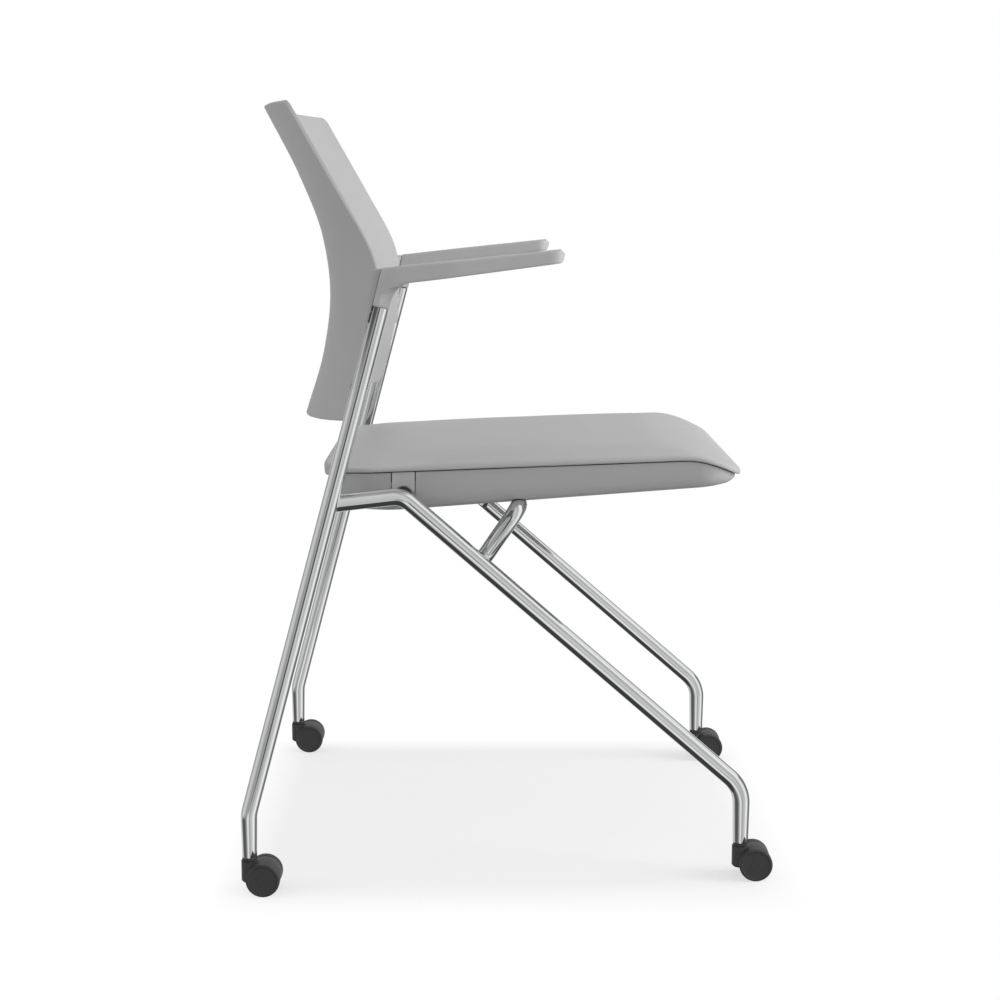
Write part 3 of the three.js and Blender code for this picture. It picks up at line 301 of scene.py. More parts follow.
def border(rows, columns):
    """The grid's outer places in order round it"""
    around = [(i, 0) for i in range(rows - 1)]
    around += [(rows - 1, j) for j in range(columns - 1)]
    around += [(i, columns - 1) for i in range(rows - 1, 0, -1)]
    return around + [(0, j) for j in range(columns - 1, 0, -1)]


def grid_body(lines_s, lines_t, first, rings, last):
    """A closed body: a grid of points, rings from its border, and a second grid. Each is a function of s
    and t"""
    rows, columns = len(lines_s), len(lines_t)
    places = [(s, t) for s in lines_s for t in lines_t]
    around = border(rows, columns)
    points = [first(s, t) for s, t in places]
    previous = [i * columns + j for i, j in around]
    faces = grid_faces(rows, columns)
    count = len(around)
    for make in [*rings, None]:
        start = len(points)
        if make:
            points += [make(lines_s[i], lines_t[j]) for i, j in around]
            ring = list(range(start, start + count))
        else:
            points += [last(s, t) for s, t in places]
            faces += grid_faces(rows, columns, start)
            ring = [start + i * columns + j for i, j in around]
        ends = [(i, (i + 1) % count) for i in range(count)]
        faces += [(previous[i], previous[j], ring[j], ring[i]) for i, j in ends]
        previous = ring
    return points, faces


# Materials

class Nodes:
    """The node tree of a material or world, with short calls for the nodes used here"""

    def __init__(self, owner, shader="Principled BSDF"):
        self.owner = owner
        owner.use_nodes = True
        self.tree = owner.node_tree
        self.shader = self.tree.nodes[shader]

    def new(self, kind):
        return self.tree.nodes.new(kind)

    def link(self, a, b):
        self.tree.links.new(a, b)

    def place(self):
        return self.new("ShaderNodeTexCoord").outputs["Object"]

    def texture(self, kind, output, **values):
        node = self.new(kind)
        for key, value in values.items():
            node.inputs[key].default_value = value
        self.link(self.place(), node.inputs["Vector"])
        return node.outputs[output]

    def noise(self, scale, detail=3.0, roughness=0.55):
        return self.texture("ShaderNodeTexNoise", "Fac", Scale=scale, Detail=detail, Roughness=roughness)

    def voronoi(self, scale):
        return self.texture("ShaderNodeTexVoronoi", "Distance", Scale=scale)

    def split(self, vector):
        node = self.new("ShaderNodeSeparateXYZ")
        self.link(vector, node.inputs[0])
        return node.outputs

    def blend(self, share, a, b):
        """A mix of two shaders"""
        node = self.new("ShaderNodeMixShader")
        for socket, value in zip(node.inputs, (share, a, b)):
            self.link(value, socket)
        return node.outputs[0]

    def math(self, operation, *values):
        node = self.new("ShaderNodeMath")
        node.operation = operation
        for i, value in enumerate(values):
            if isinstance(value, (int, float)):
                node.inputs[i].default_value = value
            else:
                self.link(value, node.inputs[i])
        return node.outputs[0]

    def spread(self, value, low, high, from_low=0.0, from_high=1.0):
        node = self.new("ShaderNodeMapRange")
        self.link(value, node.inputs["Value"])
        node.inputs["From Min"].default_value = from_low
        node.inputs["From Max"].default_value = from_high
        node.inputs["To Min"].default_value = low
        node.inputs["To Max"].default_value = high
        return node.outputs["Result"]

    def mix(self, share, a, b):
        node = self.new("ShaderNodeMix")
        node.data_type = "RGBA"
        self.link(share, node.inputs[0])
        for socket, value in ((node.inputs[6], a), (node.inputs[7], b)):
            if isinstance(value, tuple):
                socket.default_value = (*value, 1.0)
            else:
                self.link(value, socket)
        return node.outputs[2]

    def bump(self, height, strength, distance):
        node = self.new("ShaderNodeBump")
        node.inputs["Strength"].default_value = strength
        node.inputs["Distance"].default_value = distance
        self.link(height, node.inputs["Height"])
        self.link(node.outputs["Normal"], self.shader.inputs["Normal"])

    def set(self, **values):
        for key, value in values.items():
            socket = self.shader.inputs[key.replace("_", " ")]
            if isinstance(value, (int, float, tuple)):
                socket.default_value = (*value, 1.0) if isinstance(value, tuple) else value
            else:
                self.link(value, socket)


def grey(level):
    return (level, level, level)


def plastic(name, level, rough, grain=1600.0, depth=0.00006, edge=0.06):
    """Moulded plastic: fine spark-eroded grain, slight flow marks and lighter edges, partly wear and partly
    painted highlight
    """
    n = Nodes(bpy.data.materials.new(name))
    flow = n.noise(7.0, 4.0)
    fine = n.noise(grain, 2.0, 0.6)
    body = n.mix(n.spread(flow, 0.0, 1.0, 0.3, 0.7), grey(level * 0.975), grey(level * 1.025))
    # Convex edges are painted lighter: a painted edge highlight, broken into random patches that also read as
    # wear
    edge_sharpness = n.new("ShaderNodeNewGeometry").outputs["Pointiness"]
    patches = n.spread(n.noise(60.0), 0.3, 1.0, 0.4, 0.6)
    highlight_and_wear = n.math("MULTIPLY", n.spread(edge_sharpness, 0.0, 1.0, 0.53, 0.62), patches)
    colour = n.mix(highlight_and_wear, body, grey(min(1.0, level + edge)))
    rough_at = n.math("ADD", n.spread(fine, rough - 0.05, rough + 0.06), n.spread(flow, -0.03, 0.03))
    n.set(Base_Color=colour, Roughness=rough_at, Specular_IOR_Level=0.42)
    n.bump(fine, 0.35, depth)
    return n.owner


def chrome(name):
    """Polished plate over drawn tube: slow waviness, faint lengthwise polish and a few dull smears"""
    n = Nodes(bpy.data.materials.new(name))
    wave = n.noise(38.0, 2.0)
    smear = n.noise(9.0, 5.0, 0.62)
    pits = n.noise(900.0, 2.0)
    colour = n.mix(n.spread(smear, 0.0, 1.0, 0.35, 0.7), (0.86, 0.865, 0.87), (0.79, 0.797, 0.805))
    rough = n.math("ADD", n.spread(smear, 0.03, 0.08, 0.4, 0.7), n.spread(pits, 0.0, 0.02, 0.5, 0.8))
    n.set(Base_Color=colour, Metallic=1.0, Roughness=rough)
    n.bump(wave, 0.2, 0.0001)
    return n.owner


def zinc(name):
    n = Nodes(bpy.data.materials.new(name))
    crystals = n.voronoi(700.0)
    haze = n.noise(40.0, 4.0)
    colour = n.mix(n.spread(crystals, 0.0, 1.0, 0.0, 0.7), (0.66, 0.67, 0.68), (0.54, 0.55, 0.565))
    n.set(Base_Color=colour, Metallic=1.0, Roughness=n.spread(haze, 0.24, 0.42, 0.3, 0.7))
    n.bump(crystals, 0.2, 0.00004)
    return n.owner


def upholstery(name):
    """Coated upholstery cloth with a fine pebble grain"""
    n = Nodes(bpy.data.materials.new(name))
    pebble = n.voronoi(1150.0)
    creases = n.noise(420.0, 3.0, 0.6)
    soft = n.noise(11.0, 3.0)
    body = n.mix(n.spread(soft, 0.0, 1.0, 0.3, 0.7), grey(0.42), grey(0.44))
    colour = n.mix(n.spread(pebble, 0.0, 0.35, 0.3, 0.8), body, grey(0.365))
    n.set(Base_Color=colour, Roughness=n.spread(creases, 0.48, 0.62, 0.3, 0.7), Specular_IOR_Level=0.4)
    n.shader.inputs["Sheen Weight"].default_value = 0.12
    n.shader.inputs["Sheen Roughness"].default_value = 0.45
    n.bump(n.math("SUBTRACT", n.math("MULTIPLY", creases, 0.6), pebble), 0.45, 0.00015)
    return n.owner


def plywood(name):
    n = Nodes(bpy.data.materials.new(name))
    grain = n.noise(60.0, 6.0, 0.65)
    n.set(Base_Color=n.mix(grain, (0.40, 0.34, 0.27), (0.28, 0.23, 0.18)), Roughness=0.7)
    n.bump(grain, 0.3, 0.0002)
    return n.owner


CHROME = chrome("chrome_plate")
ZINC = zinc("zinc_plate")
GREY = plastic("grey_plastic", 0.42, 0.5)
# The arms' lighter grey is painted light and the pan's darker grey is painted shade: copies of the one grey
# plastic
ARM_GREY = plastic("arm_plastic", 0.45, 0.5)
PAN_GREY = plastic("pan_plastic", 0.395, 0.5)
DARK = plastic("dark_plastic", 0.045, 0.5, edge=0.02)
TREAD = plastic("wheel_plastic", 0.042, 0.46, edge=0.02)
RUBBER = plastic("black_rubber", 0.025, 0.75, grain=500.0, depth=0.0001, edge=0.01)
CLOTH = upholstery("seat_cloth")
WOOD = plywood("plywood")

# The first row with a start of its name gives each carried-over node its material
FINISHES = (
    (("crossbar_rest",), RUBBER), (("rear_leg", "front_leg", "crossbar"), CHROME), (("back_shell",), GREY),
    (("arm_", "pivot_cover"), ARM_GREY), (("seat_pan",), PAN_GREY), (("caster_wheel",), TREAD),
    (("caster_hood", "caster_insert", "pivot_bush", "pivot_stud"), DARK), (("seat_board",), WOOD),
    (("seat_cushion",), CLOTH), (("",), ZINC),
)
for name, node in NODES.items():
    node.data.materials.clear()
    node.data.materials.append(next(material for starts, material in FINISHES if name.startswith(starts)))


# Legs and crossbar

TUBE_SIDES = 48
TUBE_LIP = 0.5
COPE_BITE = 0.1
WELD_RADIUS = 1.1
STRUT_WELD_RADIUS = 1.3
STRUT_WELD_STEPS = 24
STRUT_TAIL = 5.0
STRUT_WAY = Vector((math.cos(STRUT_ANGLE), 0, math.sin(STRUT_ANGLE)))
ACROSS = Vector((0, 1, 0))


def rear_bend(sign):
    return Vector((0, sign * REAR_SPREAD / 2, REAR_BEND_Z))


def rear_top(sign):
    return Vector((REAR_TOP_X, sign * REAR_TOP_SPREAD / 2, REAR_TOP_Z))


def rear_heading(sign):
    return (rear_top(sign) - rear_bend(sign)).normalized()


def rear_axis(sign, z):
    low = rear_bend(sign)
    return low.lerp(rear_top(sign), (z - low.z) / (REAR_TOP_Z - low.z))


def crest(sign):
    return Vector((CREST[0], sign * FRONT_SPREAD / 2, CREST[1]))


def front_bend(sign):
    return Vector((WHEELBASE, sign * FRONT_SPREAD / 2, FRONT_BEND_Z))


def lip(radius, bore):
    """A tube's rounded end, from outside to inside: how far back from the end, and the radius there"""
    turns = [math.radians(angle) for angle in (0, 30, 60, 90)]
    outer = [(TUBE_LIP * (1 - math.sin(a)), radius - TUBE_LIP * (1 - math.cos(a))) for a in turns]
    inner = [(TUBE_LIP * (1 - math.sin(a)), bore + TUBE_LIP * (1 - math.cos(a))) for a in reversed(turns)]
    return outer + inner


def frames(headings):
    """Axes across each heading, carried along a route without a twist"""
    axes, side = [], ACROSS
    for heading in headings:
        side = (side - heading * side.dot(heading)).normalized()
        axes.append((side, heading.cross(side)))
    return axes


def tube_rings(route, radii, bore):
    """Rings over the outside of a tube, round its far end, back along the bore and round its near end"""
    places, headings = route
    axes = frames(headings)
    inner = list(zip(places, axes, radii))[1:-1]
    rings = [circle(place, across, radius, TUBE_SIDES) for place, across, radius in inner]
    for back, radius in lip(radii[-1], bore):
        rings.append(circle(places[-1] - headings[-1] * back, axes[-1], radius, TUBE_SIDES))
    rings += [circle(place, across, bore, TUBE_SIDES) for place, across, _ in reversed(inner)]
    for back, radius in reversed(lip(radii[0], bore)):
        rings.append(circle(places[0] + headings[0] * back, axes[0], radius, TUBE_SIDES))
    return rings


def coped(point, heading, axis_place, axis_heading, radius):
    """A point moved forward until it leaves a round bar"""
    across = (point - axis_place).cross(axis_heading)
    step = heading.cross(axis_heading)
    a, b, c = step.dot(step), across.dot(step), across.dot(across) - radius ** 2
    inside = b * b - a * c
    return point + heading * max(0.0, (math.sqrt(inside) - b) / a) if inside > 0 else point


def weld_bead(name, path, radius):
    """A bead with slight ripples along a closed path"""
    rings = []
    count = len(path)
    for i, place in enumerate(path):
        heading = (path[(i + 1) % count] - path[i - 1]).normalized()
        side = (ACROSS - heading * ACROSS.dot(heading)).normalized()
        size = radius * (1 + 0.1 * math.sin(2.1 * i) + 0.05 * math.sin(0.37 * i))
        rings.append(circle(place, (side, heading.cross(side)), size, 10))
    dress(mesh_object(name, *skin(rings, joined=True), 80), "frame", CHROME)


def rear_leg(side, sign):
    foot = Vector((0, sign * REAR_SPREAD / 2, CASTER_HEIGHT))
    route = bent([foot, rear_bend(sign), rear_top(sign)], [REAR_BEND_RADIUS])
    radii = [REAR_TUBE - FOOT_TAPER] + [REAR_TUBE] * (len(route[0]) - 1)
    obj = mesh_object(f"rear_tube_{side}", *skin(tube_rings(route, radii, REAR_BORE), joined=True), 50)
    dress(obj, "frame", CHROME, f"rear_leg_{side}")


def front_leg(side, sign):
    """A front leg, whose rear end is coped round the rear leg and welded to it"""
    foot = Vector((WHEELBASE, sign * FRONT_SPREAD / 2, CASTER_HEIGHT))
    weld = rear_axis(sign, WELD_Z)
    weld.y -= sign * WELD_INBOARD
    route = bent([weld, crest(sign), front_bend(sign), foot], [CREST_BEND_RADIUS, FRONT_BEND_RADIUS])
    radii = [FRONT_TUBE] * (len(route[0]) - 1) + [FRONT_TUBE - FOOT_TAPER]
    rings = tube_rings(route, radii, FRONT_BORE)
    start, heading = route[0][0], route[1][0]
    line = (rear_axis(sign, WELD_Z), rear_heading(sign))
    for i in range(1, len(lip(FRONT_TUBE, FRONT_BORE)) + 1):
        rings[-i] = [coped(p, heading, *line, REAR_TUBE - COPE_BITE) for p in rings[-i]]
    obj = mesh_object(f"front_tube_{side}", *skin(rings, joined=True), 50)
    dress(obj, "frame", CHROME, f"front_leg_{side}")
    mouth = circle(start, axes_across(heading), FRONT_TUBE, 72)
    weld_bead(f"weld_front_{side}", [coped(p, heading, *line, REAR_TUBE) for p in mouth], WELD_RADIUS)


def strut_foot(sign):
    """Where a strut crosses its front leg, and where the strut ends"""
    x, z = CROSSBAR
    slope = (FRONT_BEND_Z - CREST[1]) / (WHEELBASE - CREST[0])
    leg_z = CREST[1] + slope * (x - CREST[0])
    run = (z - leg_z) / (math.tan(STRUT_ANGLE) - slope)
    crossing = Vector((x - run, sign * STRUT_Y, z - run * math.tan(STRUT_ANGLE)))
    return crossing, crossing - STRUT_WAY * STRUT_TAIL


def crossbar_route():
    x, z = CROSSBAR
    corners = [strut_foot(-1)[1], Vector((x, -STRUT_Y, z)), Vector((x, STRUT_Y, z)), strut_foot(1)[1]]
    return bent(corners, [CROSSBAR_BEND_RADIUS] * 2)


def crossbar():
    route = crossbar_route()
    rings = tube_rings(route, [FRONT_TUBE] * len(route[0]), CROSSBAR_BORE)
    dress(mesh_object("crossbar_tube", *skin(rings, joined=True), 50), "frame", CHROME, "crossbar")


def strut_weld(side, sign):
    """The bead where a strut lies against the inner side of a front leg"""
    crossing, _ = strut_foot(sign)
    leg = (front_bend(sign) - crest(sign)).normalized()
    normal, fore = leg.cross(ACROSS), STRUT_WAY.cross(ACROSS)
    apart = FRONT_SPREAD / 2 - STRUT_Y
    widest = math.acos((apart - FRONT_TUBE) / FRONT_TUBE) * 0.999
    path = []
    for turn, root in ((0, 1), (1, -1)):
        for k in range(STRUT_WELD_STEPS):
            angle = widest * math.cos(math.pi * (k / STRUT_WELD_STEPS + turn))
            reach = math.sqrt(max(0.0, FRONT_TUBE ** 2 - (FRONT_TUBE * math.cos(angle) - apart) ** 2))
            shift = FRONT_TUBE * math.sin(angle)
            along = (root * reach - shift * fore.dot(normal)) / STRUT_WAY.dot(normal)
            outward = ACROSS * sign * FRONT_TUBE * math.cos(angle)
            path.append(crossing + STRUT_WAY * max(along, 0.4 - STRUT_TAIL) + outward + fore * shift)
    weld_bead(f"weld_strut_{side}", path, STRUT_WELD_RADIUS)


# Back shell

SPINE_SHARES = [0.309, 0.454, 0.513, 0.453, 0.272, 0.027]
EDGE_CURVE = [
    (0, 117.5), (0.2, 135.3), (0.32, 141.6), (0.4, 143.6), (0.44, 143.3), (0.48, 141.3), (0.52, 137.6),
    (0.56, 132.0), (0.6, 124.9), (0.642, 116.75), (0.772, 91.6), (0.875, 71.7), (1, 47.5),
]
BACK_BOTTOM_ARCH = 13.0
BACK_TOP_ARCH = 2.0
BACK_POWER = 2.2
BACK_CORNER = 8.0
BACK_RIM = 5.0
BACK_EDGE = 0.9
RIM_SLOPE = 0.34
rim_bevel = monotone([(507, 4.0), (690, 4.0), (730, 2.5), (770, 0.5), (800, 0.0), (863, 0.0)])


def smooth_share(shares, t):
    """The same centripetal curve through evenly spaced shares as in the part"""
    last = len(shares) - 1
    i = min(int(t * last), last - 1)
    weight = t * last - i
    points = [Vector((k / last, share)) for k, share in enumerate(shares)]
    before = points[i - 1] if i > 0 else points[0] * 2 - points[1]
    after = points[i + 2] if i + 2 <= last else points[last] * 2 - points[last - 1]
    p = [before, points[i], points[i + 1], after]
    d0, d1, d2 = [(b - a).length ** 0.5 for a, b in zip(p, p[1:])]
    y0, y1, y2, y3 = [v.y for v in p]
    t1 = ((y1 - y0) / d0 - (y2 - y0) / (d0 + d1) + (y2 - y1) / d1) * d1
    t2 = ((y2 - y1) / d1 - (y3 - y1) / (d1 + d2) + (y3 - y2) / d2) * d1
    square = weight * weight
    cube = (2 * y1 - 2 * y2 + t1 + t2) * square * weight
    return y1 + t1 * weight + (-3 * y1 + 3 * y2 - 2 * t1 - t2) * square + cube


def softened(values, reach):
    """The values with sudden changes of curvature evened out"""
    for _ in range(3):
        padded = [2 * values[0] - v for v in values[reach:0:-1]] + values
        padded += [2 * values[-1] - v for v in values[-2:-2 - reach:-1]]
        values = [sum(padded[i:i + 2 * reach + 1]) / (2 * reach + 1) for i in range(len(values))]
    return values


BACK_TABLE = 400
SPINE_TABLE = [smooth_share(SPINE_SHARES, i / BACK_TABLE) * REAR_TOP_X for i in range(BACK_TABLE + 1)]
edge_curve = monotone(EDGE_CURVE)
EDGE_TABLE = softened([edge_curve(i / BACK_TABLE) for i in range(BACK_TABLE + 1)], 9)


def from_table(table, share):
    at = min(max(share, 0.0), 1.0) * BACK_TABLE
    i = min(int(at), BACK_TABLE - 1)
    return table[i] + (table[i + 1] - table[i]) * (at - i)


def back_ends(across):
    """The heights of the shell's lower and upper edge"""
    return BACK_BOTTOM + BACK_BOTTOM_ARCH * across ** 2, BACK_TOP - BACK_TOP_ARCH * across ** 2


def back_place(across, up):
    bottom, top = back_ends(across)
    spine, edge = from_table(SPINE_TABLE, up), from_table(EDGE_TABLE, up)
    x = spine + (edge - spine) * abs(across) ** BACK_POWER
    return Vector((x, across * BACK_HALF, bottom + (top - bottom) * up))


def back_offset(across, up, distance):
    step = 0.01
    low, high = max(0, up - step), min(1, up + step)
    near, far = max(-1, across - step), min(1, across + step)
    upward = back_place(across, high) - back_place(across, low)
    sideways = back_place(far, up) - back_place(near, up)
    return back_place(across, up) + sideways.cross(upward).normalized() * distance


def back_face(y, z):
    """x of the shell's front face at a place in the front view"""
    across = min(max(y / BACK_HALF, -1), 1)
    bottom, top = back_ends(across)
    return back_offset(across, (z - bottom) / (top - bottom), BACK_THICKNESS).x


def back_point(s, t, inset, front):
    """A place on the shell: s up and t across from -1 to 1, at an inset from the rim, on the rear or front"""
    radius, height = BACK_CORNER - inset, BACK_TOP - BACK_BOTTOM
    up, y, end, side = rounded(s, t, inset, height - inset, BACK_HALF - inset, radius, radius)
    over = max(0.0, BACK_EDGE - inset - min(end, side))
    ease = BACK_EDGE - math.sqrt(BACK_EDGE ** 2 - over ** 2)
    if front:
        return back_offset(y / BACK_HALF, up / height, BACK_THICKNESS - ease)
    slope = RIM_SLOPE * max(0.0, rim_bevel(BACK_BOTTOM + up) - inset - side)
    return back_offset(y / BACK_HALF, up / height, ease + slope)


def back_shell():
    near_rim = [0.6, 0.6, 0.6, 0.6, 0.6, 1.2, 2, 3, 4.5]
    lines_s = unit_lines([*near_rim, 6], (BACK_TOP - BACK_BOTTOM) / 2 - BACK_RIM)
    lines_t = unit_lines([*near_rim, 6.5], BACK_HALF - BACK_RIM)
    insets = [4.4, 3.9, 3.4, 2.8, 2.0, 1.3, 0.9, 0.6, 0.35, 0.15, 0.0]
    rings = [lambda s, t, e=e: back_point(s, t, e, False) for e in insets]
    rings += [lambda s, t, e=e: back_point(s, t, e, True) for e in reversed(insets)]
    rear = lambda s, t: back_point(s, t, BACK_RIM, False)
    front = lambda s, t: back_point(s, t, BACK_RIM, True)
    obj = mesh_object("back_panel", *grid_body(lines_s, lines_t, rear, rings, front), 28)
    dress(obj, "frame", GREY, "back_shell")


def boxed_ring(low_a, high_a, low_b, high_b, high_radius, make, steps, low=None, hollow=0.0):
    """A ring of points round a rounded rectangle, each made from its two coordinates, with the given steps
    in corners and sides. Its low end's corners can have their own lengths along a and b, and be hollowed"""
    corner_steps, side_steps = steps
    most = min(high_a - low_a, high_b - low_b) / 2.05
    high_radius = min(high_radius, most)
    long_way, short_way = low or (high_radius, high_radius)
    long_way, short_way = min(long_way, high_a - low_a - high_radius - 0.2), min(short_way, most)
    centres = [(high_a - high_radius, high_b - high_radius), (low_a + long_way, high_b - short_way)]
    centres += [(low_a + long_way, low_b + short_way), (high_a - high_radius, low_b + high_radius)]
    high_sizes, low_sizes = (high_radius, high_radius, 1), (long_way, short_way, 1 + hollow)
    corners = []
    for k, (a, b) in enumerate(centres):
        along, across, power = low_sizes if k in (1, 2) else high_sizes
        turns = [math.pi / 2 * (k + i / corner_steps) for i in range(corner_steps + 1)]
        corners.append([Vector((
            a + along * math.copysign(abs(math.cos(t)) ** power, math.cos(t)),
            b + across * math.copysign(abs(math.sin(t)) ** power, math.sin(t)),
        )) for t in turns])
    ring = []
    for k in range(4):
        ring += corners[k]
        start, end = corners[k][-1], corners[(k + 1) % 4][0]
        ring += [start.lerp(end, i / side_steps) for i in range(1, side_steps)]
    return [make(p.x, p.y) for p in ring]


def kept_clear(point, sign):
    """A point of a boss or rib, kept inside the shell's front face and outside the leg"""
    if abs(point.y) < BACK_HALF:
        point.x = min(point.x, back_face(point.y, point.z) - BEHIND_FACE)
    axis, heading = rear_axis(sign, point.z), rear_heading(sign)
    out = point - axis
    out -= heading * out.dot(heading)
    short = REAR_TUBE + BESIDE_LEG - out.length
    return point + out.normalized() * short if short > 0 else point


# Bosses and ribs: how far in an end is drawn at distances from it, and their sizes
EASE_ENDS = [(0.0, 1.0), (0.12, 0.6), (0.4, 0.27), (1.0, 0.0)]
BEHIND_FACE = 0.7
BESIDE_LEG = 0.35
BOSS_DROPS = (("upper", 33.0), ("lower", 95.0))
BOSS_DEPTH = 38.0
BOSS_END = 5.5
BOSS_REAR = 9.0
BOSS_FRONT = 4.0
BOSS_HEIGHT = 30.0
RIB_HEIGHTS = (REAR_TOP_Z - 16, REAR_TOP_Z + 41.5)
RIB_WIDTHS = (2.6, 9.2)
RIB_REACH = REAR_TOP_SPREAD / 2 + 5
RIB_FOOT = 7.0


def back_boss(side, sign, level, drop):
    z = REAR_TOP_Z - drop
    axis = rear_axis(sign, z)
    length = BOSS_DEPTH - BOSS_END
    stations = [(i / 20, 0.0) for i in range(20)] + [(1 - a / length, b) for a, b in reversed(EASE_ENDS)]
    rings = []
    for share, shrink in stations:
        y = axis.y - sign * (BOSS_DEPTH - length * share)
        low, high = z - BOSS_HEIGHT / 2 + shrink, z + BOSS_HEIGHT / 2 - shrink
        rings.append(boxed_ring(
            axis.x - BOSS_REAR + shrink, axis.x + BOSS_FRONT - shrink, low, high, 4,
            lambda a, b: kept_clear(Vector((a, y, b)), sign), (5, 6),
        ))
    dress(mesh_object(f"back_boss_{level}_{side}", *skin(rings), 60), "frame", GREY)


def rib_width(z):
    low, high = RIB_WIDTHS
    return low + (high - low) * (z - RIB_HEIGHTS[0]) / (RIB_HEIGHTS[1] - RIB_HEIGHTS[0])


def back_rib(side, sign):
    """The rib behind a leg's end, which runs out to a rounded foot"""
    bottom, top = RIB_HEIGHTS
    straight = bottom + RIB_FOOT
    heights = [bottom + RIB_FOOT * (1 - math.cos(math.pi / 2 * k / 8)) for k in range(9)]
    heights += [straight + (top - 1 - straight) * k / 20 for k in range(1, 21)]
    ends = [(top - a, b) for a, b in reversed(EASE_ENDS[:-1])]
    rings = []
    for z, shrink in [*((z, 0.0) for z in heights), *ends]:
        foot = min(1.0, (z - bottom) / RIB_FOOT)
        front = rear_axis(sign, z).x - (REAR_TUBE + GAP) / rear_heading(sign).z
        thick = max(0.35, rib_width(z) * (1 - (1 - math.sqrt(foot)) ** 2)) - shrink
        rings.append(boxed_ring(
            front - thick, front - shrink * 0.5, RIB_REACH - BOSS_DEPTH, RIB_REACH - shrink, 0.8,
            lambda a, b: kept_clear(Vector((a, sign * b, z)), sign), (4, 10),
        ))
    # The rib takes the pan's darker grey, not the shell's: painted shade between shell and leg
    dress(mesh_object(f"back_rib_{side}", *skin(rings), 60), "frame", PAN_GREY)


# Arms

ARM_HEAD = 41.5
ARM_LENGTH = 193.0
ARM_RISE = math.radians(5.9)
ARM_INNER = BACK_HALF + 3.5
ARM_WIDTH = 44.0
ARM_ROOT_WIDTH = 19.0
ARM_ROOT_THICKNESS = 18.5
ARM_TIP_THICKNESS = 14.0
ARM_NECK = 13.0
ARM_NOSE = 3.0
ARM_CORNER = 16.0
FLARE_START = REAR_TOP_X + REAR_TUBE


def flare():
    """How far the arm's outer side stands from its inner side, along x: a Bezier curve"""
    p = [Vector(v) for v in (
        (FLARE_START + 73, ARM_WIDTH), (FLARE_START + 41, ARM_WIDTH), (FLARE_START + 16, ARM_ROOT_WIDTH),
        (FLARE_START, ARM_ROOT_WIDTH),
    )]
    samples = []
    for k in range(25):
        t = 1 - k / 24
        r = 1 - t
        point = p[0] * r ** 3 + p[1] * 3 * t * r ** 2 + p[2] * 3 * t * t * r + p[3] * t ** 3
        samples.append((point.x, point.y))
    return monotone(samples)


arm_flare = flare()


def arm_sides(x, z):
    """The arm's inner and outer side at a place in its side view"""
    centre = REAR_TOP_SPREAD / 2
    wide = smoothstep(z, REAR_TOP_Z + ARM_NECK, REAR_TOP_Z + ARM_NECK + 12)
    inner = centre - REAR_TUBE + (ARM_INNER - centre + REAR_TUBE) * wide
    outer = centre + REAR_TUBE + (ARM_INNER + arm_flare(x) - centre - REAR_TUBE) * wide
    past = (x - REAR_TOP_X - ARM_LENGTH - ARM_NOSE) / ARM_CORNER + 1
    drawn = ARM_CORNER * (1 - math.sqrt(max(0.0, 1 - past))) ** 2 if past > 0 else 0.0
    return inner + drawn, outer - drawn


def arm_sections(sign):
    """Pairs of places in the side view, under and over the arm, from the neck to the tip"""
    heading = rear_heading(sign)
    along = Vector((heading.x, heading.z)).normalized()
    across = Vector((along.y, -along.x))
    top = Vector((REAR_TOP_X, REAR_TOP_Z))
    corner = top - across * REAR_TUBE + along * ARM_HEAD
    rise = Vector((math.cos(ARM_RISE), math.sin(ARM_RISE)))
    down = Vector((0, -1))
    sections = []
    neck_ends = ((GAP, 1.0), (GAP + 0.12, 0.6), (GAP + 0.4, 0.25), (GAP + 1, 0.0))
    for up, drawn in (*neck_ends, (4, 0.0), (7, 0.0), (10, 0.0), (ARM_NECK, 0.0)):
        side = across * (REAR_TUBE - drawn)
        sections.append((top + side + along * up, top - side + along * up, drawn))
    neck_under, neck_over, _ = sections[-1]
    root = 2 * REAR_TUBE + ARM_NECK
    end = corner + rise * root + down * ARM_ROOT_THICKNESS
    bend = end - rise * ARM_NECK
    for k in range(1, 17):
        t = k / 16
        over = neck_over.lerp(corner, t * 2) if t <= 0.5 else corner + rise * root * (t * 2 - 1)
        sections.append((quadratic(neck_under, bend, end, t), over, 0.0))
    reach = ARM_LENGTH - ARM_NOSE
    for k in range(1, 41):
        share = 1 - (1 - k / 40) ** 1.4
        over = corner + rise * (root + (reach - root) * share)
        thick = ARM_ROOT_THICKNESS + (ARM_TIP_THICKNESS - ARM_ROOT_THICKNESS) * share
        sections.append((over + down * thick, over, 0.0))
    low = corner + rise * reach + down * ARM_TIP_THICKNESS
    edge = Vector(((corner + rise * (ARM_LENGTH + ARM_NOSE / 2)).x, low.y))
    nose = corner + rise * (ARM_LENGTH + ARM_NOSE) + down * (ARM_TIP_THICKNESS / 3)
    for k in range(1, 7):
        t = k / 6
        over = corner + rise * (reach + ARM_NOSE * t - 1.2 * t ** 3)
        sections.append((quadratic(low, edge, nose, t), over, 0.0))
    return sections


